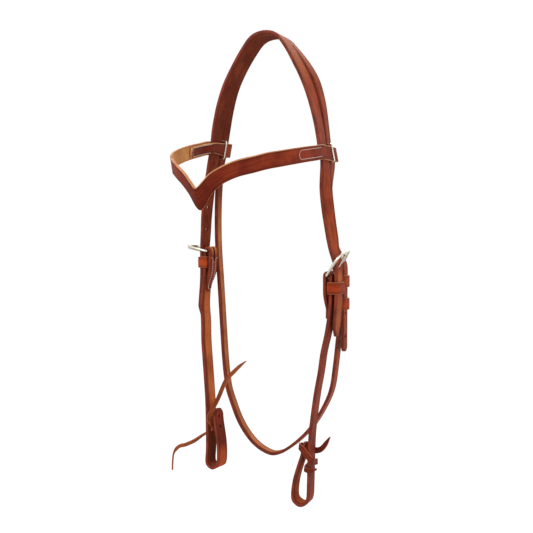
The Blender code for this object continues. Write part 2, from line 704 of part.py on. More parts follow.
def cheek_route(side):
    """A cheek strap: the inner ply up, over the heel bar, down, and round the bit loop."""
    heel = mirrored(side.heel, side.sign)
    top = HEEL_SPREAD + FOLD_RADIUS

    def spot(across, down):
        point = Vector((across, heel.y - forward(down), heel.z - down))
        turning = min(1.0, max(down - KEEPER_END, 0.0) / (CHEEK_DROP * 0.27))
        return point, turned(side.twist * turning, 1.0)

    main = [spot(top, 0.0), spot(top, KEEPER_DROP)]
    for inwards, down in side.cheek:
        main.append(spot(top + (side.spread - top) * inwards, down * CHEEK_DROP))
    radius = side.loop / 2
    turn_drop = CHEEK_DROP - radius
    middle = side.spread - radius
    main.append(spot(side.spread, turn_drop - radius * 1.4))
    for degrees in (0, -35, -90, -145, -180):
        angle = math.radians(degrees)
        main.append(spot(middle + radius * math.cos(angle), turn_drop - radius * math.sin(angle)))
    inner_low = middle - radius
    inner_high = side.spread - side.neck
    end = CHEEK_DROP - LOOP_FOLD
    for share, closing in ((0.28, 0.10), (0.55, 0.48), (0.78, 0.86), (1.0, 1.0)):
        down = turn_drop + (end - turn_drop) * share
        main.append(spot(inner_low + (inner_high - inner_low) * closing, down))
    knots = fold(heel, FOLD_RADIUS, FOLD_BACK, KEEPER_END, main) + main[1:]
    return Route([(mirrored(point, side.sign), mirrored(hint, side.sign)) for point, hint in knots], side.sign)


def brow_plan():
    """The near half of the browband's outer ply in plan, from the end fold to the front."""
    side = ARCH_SPREAD + BROW_OVER
    points = [
        Vector((side, BROW_TAB, 0.0)),
        Vector((side, SLIT_MIDDLE, 0.0)),
        Vector((side, WIDE_MIDDLE, 0.0)),
    ]
    for x, y in [(1.0, 0.0)] + arc(0.0, 0.0, 1.0, 7.5, 82.5, 10) + [(0.0, 1.0)]:
        x, y = x ** BROW_ROUND_SHARE, y ** BROW_ROUND_SHARE
        points.append(Vector((side * x, -BROW_START - BROW_REACH * y, 0.0)))
    return points


def brow_route():
    """The whole browband, from the tip of the off folded end to the tip of the near one."""
    flat = Route([(point, UP) for point in brow_plan()])
    # From the crown's side forwards the band drops into its V
    start = flat.near(Vector((ARCH_SPREAD + BROW_OVER, -BROW_START, 0.0)))
    half = flat.length - start

    def height(distance, side):
        share = max(distance - start, 0.0) / half
        drop = table([(a, b) for a, b, c in V_SHARES], share) * V_DROP
        rise = BROW_RISE * side.sign * (1.0 - share)
        return POLL - BROW_DROP - rise - drop

    def lean(distance, side):
        share = max(distance - start, 0.0) / half
        slope = BROW_SLOPE_SHARE * (1.0 - min(share / 0.4, 1.0))
        ahead = math.tan(math.radians(V_LEAN)) * max(share - 0.5, 0.0) * 2.0
        outwards = flat.at(distance)[3] * -ahead - ACROSS * slope
        return (UP + mirrored(outwards, side.sign)).normalized()

    def knot(distance, inwards, side):
        point, along, width, normal = flat.at(distance)
        share = max(distance - start, 0.0) / half
        spot = point + normal * inwards + ACROSS * (side.brow_shift * (1.0 - share))
        spot = mirrored(spot, side.sign)
        spot.z = height(distance, side)
        return spot, lean(distance, side)

    crown_front = CROWN_WIDTH / 2 + BRANCH_SPREAD
    at_crown_rear = flat.near(Vector((ARCH_SPREAD + BROW_OVER, crown_front, 0.0)))
    at_crown_front = flat.near(Vector((ARCH_SPREAD + BROW_OVER, -crown_front, 0.0)))
    wide_apart = 2 * BROW_OVER

    def end(side):
        """Knots from the tip of a folded end, round its fold."""
        inner = [(0.0, wide_apart)]
        for share in (0.3, 0.7):
            inner.append((at_crown_rear + (at_crown_front - at_crown_rear) * share, wide_apart))
        for share, closing in CLOSING_SHARES:
            inner.append((at_crown_front + (side.lining - at_crown_front) * share,
                          wide_apart + (BROW_PLY - wide_apart) * closing))
        knots = [knot(distance, inwards, side) for distance, inwards in inner[::-1]]
        centre = Vector(((ARCH_SPREAD + side.brow_shift) * side.sign, BROW_TAB, height(0.0, side)))
        for degrees in (30, 60, 90, 120, 150):
            angle = math.radians(180 - degrees)
            offset = ACROSS * (math.cos(angle) * side.sign) + BACK * math.sin(angle)
            knots.append((centre + offset * BROW_OVER, lean(0.0, side)))
        return knots

    distances = flat.knots[:4] + [start + half * share for share in (0.12, 0.24, 0.36, 0.48, 0.58, 0.68)]
    distances += [start + half * row[0] for row in V_SHARES[3:]]
    off = [knot(distance, 0.0, OFF) for distance in distances]
    near = [knot(distance, 0.0, NEAR) for distance in distances[:-1]]
    knots = end(OFF) + off + near[::-1] + end(NEAR)[::-1]
    return Route(knots, square=False), len(end(OFF)), len(off)


WIDE = wide_route()
NARROW = narrow_route()
CHEEKS = {side: cheek_route(side) for side in (NEAR, OFF)}
BROW, BROW_END_KNOTS, BROW_HALF_KNOTS = brow_route()


# Buckles

def tongue_line(wire, radius, length):
    """A tongue in its frame's plane: round the heel bar, then along the outer face."""
    ring = wire + CLEAR + radius
    points = [(0.0, y, z) for y, z in arc(0.0, 0.0, ring, 365.0, 90.0, 12)]
    tip = length + TONGUE_OVERHANG
    for share in (0.35, 0.7, 1.0):
        points.append((0.0, tip * share, ring))
    return points


def tongue_hole(matrix, wire, radius, route, heel):
    """Where a tongue goes through a billet that passes its heel bar: the rod that cuts its hole."""
    ring = wire + CLEAR + radius
    axes = matrix.to_3x3()
    start = matrix @ Vector((0.0, 0.0, ring))
    along = axes @ BACK
    # The tongue's own plane crosses the billet's middle a little above the heel bar
    passing, heading, width, normal = route.at(heel)
    for step in range(6):
        reach = (passing - start).dot(normal) / along.dot(normal)
        middle = start + along * reach
        passing, heading, width, normal = route.at(route.near(middle, heel - REACH, heel + REACH))
    return frame(middle, axes @ ACROSS, along.cross(axes @ ACROSS), along), radius + TONGUE_PLAY, TONGUE_ROD


def frame_outline(half, length, corner):
    """The frame's middle line: a straight heel bar, two sides and a round free end."""
    points = arc(-(half - corner), corner, corner, 180.0, 270.0, 3)
    points += arc(half - corner, corner, corner, 270.0, 360.0, 3)
    points += arc(0.0, length - half, half, 0.0, 180.0, 10)
    return [(x, y, 0.0) for x, y in points]


def build_buckle(name, matrix, strap_width, play, wire, tongue, length, finish):
    half = strap_width / 2 + play + wire
    tube(name + "_buckle_frame", frame_outline(half, length, wire * 1.2), wire, finish, matrix, closed=True)
    line = tongue_line(wire, tongue, length)
    radii = [1.0] * (len(line) - 1) + [0.8]
    tube(name + "_buckle_tongue", line, tongue, finish, matrix, radii=radii)


# Straps

def crown_holes():
    """Rods that punch the billets, with the oblique holes that the tongues have worn."""
    places = []
    for side, counts in ((NEAR, NEAR_HOLES), (OFF, OFF_HOLES)):
        matrix = side.buckle_matrix()
        heel = WIDE.near(side.heel + side.outwards * side.billet_pass)
        places.append(tongue_hole(matrix, WIRE, TONGUE, WIDE, heel))
        for k in counts:
            place_matrix = WIDE.matrix(heel + HOLE_PITCH * k * -side.sign)
            turn = place_matrix @ Matrix.Rotation(math.pi / 2, 4, "Y")
            places.append((turn, HOLE_RADIUS, LEATHER + OVERRUN))
    matrix = buckle_frame(THROAT_HEEL, math.radians(THROAT_TILT), 1.0)
    heel = NARROW.near(THROAT_HEEL + ACROSS * THROAT_PASS, NARROW.length / 2)
    places.append(tongue_hole(matrix, THROAT_WIRE, THROAT_TONGUE, NARROW, heel))
    below = math.floor((THROAT_TAIL - THROAT_WIDTH) / HOLE_PITCH)
    for k in (*range(-below, -1), 1, 2):
        turn = NARROW.matrix(heel - HOLE_PITCH * k) @ Matrix.Rotation(math.pi / 2, 4, "Y")
        places.append((turn, HOLE_RADIUS * 0.8, LEATHER + OVERRUN))
    return places


def pointed(distance, tip, width):
    """Share of the width that is left near a pointed tip."""
    return min(1.0, 0.32 + 0.68 * abs(tip - distance) / (width * 0.62))


def rounded(distance, tip, width):
    """Share of the width that is left near a round tip."""
    left = min(abs(tip - distance) / (width / 2), 1.0)
    return max(0.35, math.sqrt(1.0 - (1.0 - left) ** 2))


def wide_edges(distance):
    """Offsets of the wide branch: full at the arch, narrower where it is buckled."""
    poll = WIDE.near(Vector((0.0, WIDE_MIDDLE, POLL)))
    tip = 0.0 if distance < poll else WIDE.length
    taper = min(max((abs(distance - poll) - BROW_DROP * 1.3) / (BROW_DROP * 0.5), 0.0), 1.0)
    width = WIDE_BRANCH + (BILLET_WIDTH - WIDE_BRANCH) * taper
    half = width / 2 * pointed(distance, tip, BILLET_WIDTH)
    return -half, half


def narrow_edges(distance):
    poll = NARROW.near(Vector((0.0, NARROW_MIDDLE, POLL)))
    taper = min(max((abs(distance - poll) - BROW_DROP * 1.3) / (BROW_DROP * 0.5), 0.0), 1.0)
    width = NARROW_BRANCH + (THROAT_WIDTH - NARROW_BRANCH) * taper
    half = width / 2 * rounded(distance, NARROW.length, THROAT_WIDTH)
    if distance < THROAT_FOLD_BACK:
        half *= pointed(distance, 0.0, THROAT_WIDTH)
    return -half, half


def build_crown(finish):
    """The whole crown: joined over the poll, then two branches each way."""
    wide_poll = WIDE.near(Vector((0.0, WIDE_MIDDLE, POLL)))
    narrow_poll = NARROW.near(Vector((0.0, NARROW_MIDDLE, POLL)))
    steps = 8
    rows = []
    for k in range(steps + 1):
        away = SLIT_START * (2 * k / steps - 1)
        wide = wide_poll + away
        narrow = narrow_poll + away
        rows.append(edges_at(WIDE, wide, *wide_edges(wide)) + edges_at(NARROW, narrow, *narrow_edges(narrow)))
    bm = bmesh.new()
    first = row = first_row(bm, rows[0])
    for places in rows[1:]:
        row = grow(bm, row, places)
    for route, poll, width, part in ((WIDE, wide_poll, wide_edges, slice(0, 2)),
                                     (NARROW, narrow_poll, narrow_edges, slice(2, 4))):
        for sign, start_row in ((1, row[part]), (-1, first[part])):
            start = poll + SLIT_START * sign
            end = route.length if sign > 0 else 0.0
            distances = route.stations(min(start, end), max(start, end))
            if sign < 0:
                distances = distances[::-1]
            distances = tips(distances, end, width)
            current = start_row
            for distance in distances[1:]:
                current = grow(bm, current, edges_at(route, distance, *width(distance)))
    item = finish_strap(place("crown_strap", mesh_from(bm, "crown_strap"), finish))
    cut(item, rods(crown_holes(), "billet_holes"))
    cut(item, blocks([slot_block(THROAT_HEEL, THROAT_FOLD_RADIUS, THROAT_TONGUE)], "throat_tongue_slot"))


def tips(distances, end, width):
    """Extra stations near a strap's end, where its outline narrows."""
    sign = 1.0 if distances[-1] >= distances[0] else -1.0
    far = CHEEK_WIDTH * 0.62
    kept = [d for d in distances if abs(end - d) > far]
    return kept + [end - sign * far * share for share in (0.98, 0.75, 0.5, 0.25, 0.08)] + [end]


def slot_block(heel, radius, tongue):
    """The block that cuts the tongue's slot in a fold, short of the billet that lies on it."""
    slot = SLOT_WIDTH * tongue / TONGUE
    size = (radius * 2 + LEATHER + CLEAR, slot, SLOT_LENGTH * 2)
    return Matrix.Translation(heel), size


def build_cheek(side, finish):
    route = CHEEKS[side]
    tip = route.length

    def width(distance):
        half = CHEEK_WIDTH / 2 * rounded(distance, tip, CHEEK_WIDTH)
        half *= min(1.0, 0.30 + 0.70 * distance / (FOLD_BACK * 0.6))
        return -half, half

    bm = bmesh.new()
    distances = tips(route.stations(0.0, route.length), route.length, width)
    row = first_row(bm, edges_at(route, 0.0, *width(0.0)))
    for distance in distances[1:]:
        row = grow(bm, row, edges_at(route, distance, *width(distance)))
    name = side.name + "_cheek_strap"
    item = finish_strap(place(name, mesh_from(bm, name), finish))
    cut(item, blocks([slot_block(side.heel, FOLD_RADIUS, TONGUE)], side.name + "_tongue_slot"))
    places = []
    for k in range(2):
        level = LACE_HOLE_DROP + LACE_HOLE_PITCH * k
        distance = route.near(loop_spot(side, side.spread - side.neck, level))
        turn = route.matrix(distance) @ Matrix.Rotation(math.pi / 2, 4, "Y")
        places.append((turn, LACE_HOLE_RADIUS, LEATHER + OVERRUN))
    if side is OFF:
        level = TIE_DROP + LOOP_FOLD * 0.178
        distance = route.near(loop_spot(side, side.spread, level))
        size = (LEATHER * 1.6, OFF_LACE_WIDTH + CLEAR * 4, LACE * 2.9)
        cut(item, blocks([(route.matrix(distance), size)], side.name + "_lace_slit"))
    cut(item, rods(places, side.name + "_lace_holes"))


def loop_spot(side, across, down):
    """A place near a bit loop's leg at a distance below the heel bar."""
    heel = mirrored(side.heel, side.sign)
    return mirrored((across, heel.y - forward(down), heel.z - down), side.sign)


def build_browband(finish):
    start = BROW.knots[BROW_END_KNOTS]
    front = BROW.knots[BROW_END_KNOTS + BROW_HALF_KNOTS - 1]
    end = BROW.knots[BROW_END_KNOTS + 2 * BROW_HALF_KNOTS - 2]

    def width(distance):
        side, tip = (OFF, 0.0) if distance < front else (NEAR, BROW.length)
        if start < distance < end:
            share = 1.0 - abs(distance - front) / (front - start)
            height = BROW_WIDTH * table([(a, c) for a, b, c in V_SHARES], max(share, 0.0))
        else:
            past = abs(tip - distance) - side.lining + BROW_TAB + CROWN_WIDTH / 2
            height = LINING_WIDTH + (BROW_WIDTH - LINING_WIDTH) * min(max(past / CROWN_WIDTH, 0.0), 1.0)
        half = height / 2 * rounded(distance, tip, LINING_WIDTH / 2)
        return -half, half

    bm = bmesh.new()
    first = BROW.stations(0.0, front)
    second = BROW.stations(front, BROW.length)
    first = tips(first[::-1], 0.0, width)[::-1]
    second = tips(second, BROW.length, width)
    row = first_row(bm, edges_at(BROW, 0.0, *width(0.0)))
    for distance in first[1:] + second[1:]:
        row = grow(bm, row, edges_at(BROW, distance, *width(distance)))
    finish_strap(place("browband", mesh_from(bm, "browband"), finish), BROW_LEATHER, EDGE_ROUND / 2)


def build_browband_loop(side, finish):
    """A rectangular wire loop round both plies, which goes through the crown's slit."""
    rise = BROW_RISE * side.sign
    across = ARCH_SPREAD + side.brow_shift
    centre = mirrored((across, SLIT_MIDDLE, POLL - BROW_DROP - rise), side.sign)
    up = (UP - ACROSS * (BROW_SLOPE_SHARE * side.sign)).normalized()
    matrix = frame(centre, up.cross(BACK) * -1.0, up, BACK * -1.0)
    half_x = BROW_OVER + BROW_LEATHER / 2 + CLEAR * 2 + BROW_LOOP_WIRE
    outline = rounded_rectangle(half_x, BROW_LOOP_HEIGHT / 2, BROW_LOOP_WIRE * 2)
    tube(side.name + "_browband_loop", [(x, y, 0.0) for x, y in outline], BROW_LOOP_WIRE, finish,
         matrix, closed=True)


# Keepers

def keeper(name, main, inner, outer, width, play, height, finish, sign=1.0):
    """A band round the plies that lie between two outward distances from a place."""
    half_x = (outer - inner) / 2 + play
    half_y = width / 2 + play
    matrix = Matrix.Translation(main + ACROSS * ((outer + inner) / 2 * sign))
    hole = rounded_rectangle(half_x, half_y, KEEPER_CORNER / 2)
    rim = rounded_rectangle(half_x + KEEPER, half_y + KEEPER, KEEPER_CORNER + KEEPER / 2)
    flat_ring(name, hole, rim, height, matrix, finish)


def build_keepers(finish):
    for side in (NEAR, OFF):
        main = side.heel + side.outwards * FOLD_RADIUS - UP * KEEPER_DROP
        keeper(side.name + "_cheek_keeper", main, -LEATHER / 2, side.billet_pass - FOLD_RADIUS + LEATHER / 2,
               CHEEK_WIDTH, KEEPER_PLAY, KEEPER_HEIGHT, finish, side.sign)
    for name, drop, play in (("throat_fixed_keeper", THROAT_KEEPER_DROP, KEEPER_PLAY),
                             ("throat_sliding_keeper", SLIDING_KEEPER_DROP, SLIDING_PLAY)):
        main = THROAT_HEEL + ACROSS * THROAT_FOLD_RADIUS - UP * drop
        keeper(name, main, -LEATHER / 2, THROAT_PASS - THROAT_FOLD_RADIUS + LEATHER / 2, THROAT_WIDTH,
               play, THROAT_KEEPER_HEIGHT, finish)


# Ties

def tie_matrix(side):
    """The tie's own directions: x outwards, y backwards, z down the strap."""
    route = CHEEKS[side]
    point, along, width, normal = route.at(route.near(loop_spot(side, side.spread, TIE_DROP)))
    return frame(point, normal, width, along)


def lace_hint(before, after, flat_on):
    """The width direction of a lace that lies flat on something."""
    return (after - before).cross(flat_on)


def build_lace(side, lace_width, shares, faces, finish):
    matrix = tie_matrix(side)
    axes = matrix.to_3x3()
    points = [
        matrix @ Vector((out * CHEEK_WIDTH, back * CHEEK_WIDTH / 2, down * LOOP_FOLD))
        for out, back, down in shares
    ]
    hints = []
    for k, face in enumerate(faces):
        before = points[max(k - 1, 0)]
        after = points[min(k + 1, len(points) - 1)]
        hints.append(lace_hint(before, after, axes @ Vector(face)).normalized())
    for k in range(1, len(hints)):
        if hints[k].dot(hints[k - 1]) < 0.0:
            hints[k].negate()
    route = Route(list(zip(points, hints)))

    def width(distance):
        half = lace_width / 2 * table(LACE_TAPER_SHARES, distance / route.length)
        return -half, half

    strap(side.name + "_tie_lace", route, width, finish, thickness=LACE, rounding=LACE / 6,
          turn=TURN * 1.3, reach=REACH * 0.6)
    return route


# The side of the lace that faces away from the leather at each of its points
NEAR_LACE_FACES = (
    (0.0, 1.0, 0.0), (0.2, 1.0, 0.0), (0.0, 1.0, 0.0), (0.0, 1.0, 0.0), (-1.0, 1.0, 0.0),
    (-1.0, 0.0, 0.0), (-1.0, -1.0, 0.0), (0.0, -1.0, 0.0), (0.0, -1.0, 0.0), (1.0, -1.0, 0.0),
    (1.0, 0.0, 0.0), (1.0, 1.0, 0.0), (0.0, 1.0, 0.0), (-1.0, 1.0, 0.0), (-1.0, 0.0, 0.0),
    (-1.0, -1.0, 0.0), (0.0, -1.0, 0.0), (1.0, -1.0, 0.0), (1.0, 0.0, 0.0), (1.0, 0.0, 0.0),
)
OFF_LACE_FACES = (
    (0.0, -1.0, 0.0), (0.0, -1.0, 0.0), (0.0, -1.0, 0.0), (0.0, -1.0, 0.0), (0.0, -1.0, 0.0),
    (-0.4, -1.0, 0.0), (-1.0, -0.25, 0.0), (-1.0, 0.0, 0.0), (-1.0, 0.0, 0.2), (-0.5, 0.0, 1.0),
    (0.0, 0.0, 1.0), (0.3, -0.3, 1.0), (0.2, -0.6, 0.8), (0.0, -0.8, 0.7), (0.3, -0.8, 0.5),
    (0.8, -0.8, 0.0), (0.8, -0.8, 0.0), (0.8, -0.8, 0.0),
)


def main():
    clear_scene()
    collection("western_headstall")
    collection("cutters")
    build_crown(leather("crown_leather"))
    build_browband(leather("browband_leather", (0.33, 0.082, 0.030)))
    for side in (NEAR, OFF):
        build_cheek(side, leather(side.name + "_cheek_leather"))
        build_browband_loop(side, steel(side.name + "_loop_steel"))
        build_buckle(side.name + "_cheek", side.buckle_matrix(), BILLET_WIDTH, FRAME_SIDE_PLAY, WIRE,
                     TONGUE, FRAME_LENGTH, steel(side.name + "_buckle_steel"))
    build_buckle("throat", buckle_frame(THROAT_HEEL, math.radians(THROAT_TILT), 1.0), THROAT_WIDTH,
                 THROAT_FRAME_PLAY, THROAT_WIRE, THROAT_TONGUE, THROAT_FRAME_LENGTH,
                 steel("throat_buckle_steel"))
    build_keepers(leather("keeper_leather", (0.36, 0.095, 0.034)))
    build_lace(NEAR, NEAR_LACE_WIDTH, NEAR_LACE_SHARES, NEAR_LACE_FACES, leather("near_lace_leather"))
    build_lace(OFF, OFF_LACE_WIDTH, OFF_LACE_SHARES, OFF_LACE_FACES,
               leather("off_lace_leather", (0.38, 0.12, 0.045)))


main()
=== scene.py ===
"""A leather western headstall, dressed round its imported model."""

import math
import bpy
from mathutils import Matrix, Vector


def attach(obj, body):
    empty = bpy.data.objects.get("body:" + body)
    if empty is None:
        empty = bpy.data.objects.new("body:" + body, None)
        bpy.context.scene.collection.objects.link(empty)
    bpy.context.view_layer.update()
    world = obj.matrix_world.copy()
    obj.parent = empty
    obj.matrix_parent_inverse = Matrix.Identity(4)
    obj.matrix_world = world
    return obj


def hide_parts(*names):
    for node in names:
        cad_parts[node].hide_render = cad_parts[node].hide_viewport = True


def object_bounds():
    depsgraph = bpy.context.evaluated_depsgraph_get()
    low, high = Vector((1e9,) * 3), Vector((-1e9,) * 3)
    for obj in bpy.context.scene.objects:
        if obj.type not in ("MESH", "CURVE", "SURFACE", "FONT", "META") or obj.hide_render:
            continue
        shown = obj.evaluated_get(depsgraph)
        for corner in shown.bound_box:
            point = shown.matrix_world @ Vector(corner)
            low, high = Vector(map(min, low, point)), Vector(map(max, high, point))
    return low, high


bl_info = {
    "name": "Western Headstall",
    "version": (1, 0, 0),
    "blender": (4, 5, 0),
    "location": "3D View > Sidebar > Headstall",
    "description": "Builds the leather, steel and thread of a western headstall",
    "category": "Add Mesh",
}

from bisect import bisect_right

import bmesh
import bpy
from bpy.props import FloatProperty, FloatVectorProperty, IntProperty, PointerProperty
from bpy.types import Operator, Panel, PropertyGroup
from mathutils import Matrix, Vector

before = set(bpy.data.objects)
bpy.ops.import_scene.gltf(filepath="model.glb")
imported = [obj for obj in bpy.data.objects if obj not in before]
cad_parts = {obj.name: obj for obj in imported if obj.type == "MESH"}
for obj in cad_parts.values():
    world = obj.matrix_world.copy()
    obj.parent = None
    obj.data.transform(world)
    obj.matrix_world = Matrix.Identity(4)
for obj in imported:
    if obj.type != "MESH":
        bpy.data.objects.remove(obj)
PACKED_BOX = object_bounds()

# Leather
LEATHER = 0.0032           # thickness of the crown and the cheek straps
CLEAR = 0.0003             # gap between pieces that touch
REACH = 0.016              # how far from a heel bar the hole of its tongue is looked for

# Crown
WIDE_BRANCH = 0.019        # front branch, which carries the cheek
NARROW_BRANCH = 0.0120     # rear branch, which carries the throatlatch
SLIT = 0.0006              # gap between the branches
SLIT_START = 0.030         # from the poll along the strap to the end of each slit
BRANCH_SPREAD = 0.0011     # how far a browband loop pushes each branch aside
BRANCH_RISE = 0.0015       # how far the narrow branch stands out from the wide one on the arch
ARCH_SPREAD = 0.0656       # poll to the crown's side at the browband, across
BROW_DROP = 0.1259         # poll to the browband's ends, down, the mean of both sides
BILLET_WIDTH = 0.016       # the wide branch where it is buckled
HOLE_PITCH = 0.025
HOLE_RADIUS = 0.0020

# Cheek straps
HEEL_SPREAD = 0.0735       # middle plane to the heel bars of the cheek buckles
HEEL_DROP = 0.2478         # poll to the heel bars, the mean of both sides
SLIP = 0.0122              # how far the crown has slipped to the near side
HEEL_SETBACK = 0.004       # heel bars ahead of the poll's middle
CHEEK_WIDTH = 0.016
CHEEK_DROP = 0.2390        # heel bar to the bottom of the bit loop
CHEEK_FORWARD = 0.026      # how far the bit loop hangs ahead of the heel bar
LOOP_FOLD = 0.064          # bottom of the loop to the end of the folded leg
FOLD_BACK = 0.046          # heel bar to the end of the fold
LACE_HOLE_RADIUS = 0.0017
LACE_HOLE_PITCH = 0.0118
LACE_HOLE_DROP = 0.184     # heel bar to the upper lace hole

# Cheek buckles
WIRE = 0.0015              # radius of the frame's wire
FRAME_LENGTH = 0.0278      # heel bar to the wire of the round end
FRAME_SIDE_PLAY = 0.0010   # between the frame's side and the billet
TONGUE = 0.0011            # radius of a cheek tongue
TONGUE_OVERHANG = 0.0022   # tip of the tongue beyond the wire's middle
TONGUE_PLAY = 0.0009       # room round a tongue in its billet hole
TONGUE_ROD = 0.011         # length of the rod that cuts that hole
WORN_SHARE = 1.08          # how much wider the tongue has worn it
SLOT_WIDTH = 0.0036        # slot for the tongue in the fold
SLOT_LENGTH = 0.011        # heel bar to the end of the slot

# Keepers
KEEPER = 0.0018            # thickness of a keeper
KEEPER_HEIGHT = 0.0124
KEEPER_DROP = 0.0128       # heel bar to the middle of a cheek keeper
KEEPER_PLAY = 0.0005
KEEPER_CORNER = 0.0012
THROAT_KEEPER_HEIGHT = 0.0128
THROAT_KEEPER_DROP = 0.0155
SLIDING_KEEPER_DROP = 0.040
SLIDING_PLAY = 0.0005

# Throatlatch and its buckle
THROAT_WIDTH = 0.011
THROAT_SPREAD = HEEL_SPREAD    # middle plane to the throat buckle's heel bar
THROAT_DROP = 0.2516       # poll to the heel bar
THROAT_SETBACK = 0.020     # heel bar behind the poll's middle
THROAT_TAIL = 0.0915       # heel bar to the tip of the throat billet
THROAT_FOLD_BACK = 0.0305
THROAT_STRAIGHT = 0.062    # below the heel bar, where billet and throatlatch lie together
THROATLATCH_DROP = 0.4656  # poll to the lowest point of the throatlatch
THROAT_WIRE = 0.00125
THROAT_FRAME_LENGTH = 0.0185
THROAT_FRAME_PLAY = 0.0007
THROAT_TILT = 30.0
THROAT_TONGUE = 0.0009

# Browband
BROW_WIDTH = 0.0155
BROW_LEATHER = 0.0026      # the browband is skived thinner
BROW_REACH = 0.130         # how far the front of the browband is ahead of its ends
BROW_ROUND_SHARE = 0.88    # below 1 the front is squarer than half an ellipse
BROW_START = 0.017         # where its curve begins, ahead of the poll's middle
BROW_RISE = 0.0053         # half the difference in height between its ends
BROW_PLAY = 0.0009         # between the crown and each ply
V_DROP = 0.0572            # from the ends to the middle of the V
BROW_TAB = 0.0184          # poll's middle to the middle of the end fold, backwards
LINING_WIDTH = 0.0112      # the folded ends are cut narrower ahead of the crown
BROW_LOOP_WIRE = 0.0009
BROW_LOOP_HEIGHT = 0.0197  # middle to middle of the wire, above and below the browband
BROW_SLOPE_SHARE = 0.20    # how far the crown's side spreads for each length it drops
V_LEAN = 22.0              # degrees by which the V's top leans forwards

# Ties
LACE = 0.0018              # thickness
TIE_DROP = 0.190           # heel bar to the middle of the tie

# Stitches
SEAM_STEP = 0.001          # from one worked-out point of a seam to the next
SEAM_INSET = 0.002         # from the tip of a strap to the turn of its U
CHEEK_SEAM = (0.0030, 0.0040)      # half the width of a fold's seam, and how far its ends turn out
THROAT_SEAM = (0.0022, 0.0020)

# The arch of the crown from the poll down one side: across in shares of ARCH_SPREAD, down in
# shares of BROW_DROP
ARCH_SHARES = (
    (0.213, 0.027), (0.396, 0.129), (0.592, 0.286), (0.725, 0.418),
    (0.838, 0.589), (0.932, 0.801), (0.975, 0.928), (1.000, 1.000), (1.048, 1.117),
)

# How far the branches are spread, and how far the narrow one stands out, at the same places
SPREAD_SHARES = (0.0, 0.0, 0.2, 0.4, 0.6, 0.85, 1.0, 1.0, 0.9)
RISE_SHARES = (0.0, 0.05, 0.7, 1.0, 1.0, 0.45, 0.0, 0.0, 0.0)

# The near narrow branch from the browband to the throat buckle: shares of THROAT_SPREAD and
# THROAT_DROP
THROAT_BILLET_SHARES = ((0.900, 0.642), (0.880, 0.702), (0.883, 0.762), (0.915, 0.841), (0.968, 0.915))

# The throatlatch from the end of its straight stretch to its lowest point: shares of THROAT_SPREAD,
# of the way down, and of THROAT_SETBACK
NEAR_THROATLATCH_SHARES = (
    (1.014, 0.096, 1.00), (0.967, 0.299, 1.00), (0.906, 0.482, 0.98), (0.755, 0.645, 0.94),
    (0.578, 0.776, 0.91), (0.426, 0.856, 0.88), (0.268, 0.923, 0.84), (0.122, 0.972, 0.80),
    (-0.035, 0.994, 0.77),
)
# The same from there up the off side, with the drop in shares of THROATLATCH_DROP
OFF_THROATLATCH_SHARES = (
    (-0.198, 0.991, 0.73), (-0.358, 0.975, 0.70), (-0.513, 0.948, 0.67),
    (-0.623, 0.919, 0.64), (-0.727, 0.880, 0.62), (-0.794, 0.850, 0.60), (-0.839, 0.806, 0.59),
    (-0.871, 0.752, 0.59), (-0.899, 0.691, 0.60), (-0.951, 0.590, 0.66), (-1.000, 0.500, 0.72),
    (-1.006, 0.440, 0.70), (-0.978, 0.370, 0.59),
)

# The browband's V: along one half, then the drop in shares of V_DROP and the height in shares of
# BROW_WIDTH
V_SHARES = (
    (0.0, 0.0, 1.0), (0.284, 0.147, 1.0), (0.57, 0.322, 1.02), (0.77, 0.491, 1.04),
    (0.858, 0.611, 1.10), (0.924, 0.757, 1.30), (0.973, 0.937, 1.48), (1.0, 1.0, 1.42),
)

# How the inner ply of a fold closes up, from the keeper's lower edge to the fold's end: along it,
# and closed
FOLD_CLOSING_SHARES = ((1.0, 1.0), (0.80, 1.0), (0.60, 0.86), (0.35, 0.34), (0.12, 0.04), (0.0, 0.0))

# How the folded end of the browband closes up ahead of the crown: along it, and closed
CLOSING_SHARES = ((0.0, 0.0), (0.12, 0.12), (0.24, 0.5), (0.36, 0.88), (0.48, 1.0), (0.75, 1.0), (1.0, 1.0))

LACE_TAPER_SHARES = ((0.0, 0.12), (0.06, 0.75), (0.16, 1.0), (0.80, 0.92), (0.92, 0.7), (1.0, 0.25))

ACROSS = Vector((1.0, 0.0, 0.0))
BACK = Vector((0.0, 1.0, 0.0))
UP = Vector((0.0, 0.0, 1.0))

POLL = LEATHER / 2         # height of the leather's middle over the poll
PLY = LEATHER + CLEAR      # middle to middle of two straps that lie on each other
FOLD_RADIUS = WIRE + CLEAR + LEATHER / 2           # middle of the leather round a cheek heel bar
BROW_OVER = (LEATHER + BROW_LEATHER) / 2 + BROW_PLAY   # middle of the crown to the middle of a ply
BROW_PLY = BROW_LEATHER + CLEAR * 2
KEEPER_END = KEEPER_DROP + KEEPER_HEIGHT / 2       # heel bar to a keeper's lower edge
THROAT_KEEPER_END = THROAT_KEEPER_DROP + THROAT_KEEPER_HEIGHT / 2


# Curves

def centripetal(a, b, c, d, share):
    """A point between b and c on the smooth curve through a, b, c and d."""
    times = [0.0]
    for start, end in ((a, b), (b, c), (c, d)):
        times.append(times[-1] + math.sqrt(max((end - start).length, CLEAR)))
    t0, t1, t2, t3 = times
    t = t1 + (t2 - t1) * share
    ab = a.lerp(b, (t - t0) / (t1 - t0))
    bc = b.lerp(c, (t - t1) / (t2 - t1))
    cd = c.lerp(d, (t - t2) / (t3 - t2))
    abc = ab.lerp(bc, (t - t0) / (t2 - t0))
    bcd = bc.lerp(cd, (t - t1) / (t3 - t1))
    return abc.lerp(bcd, (t - t1) / (t2 - t1))


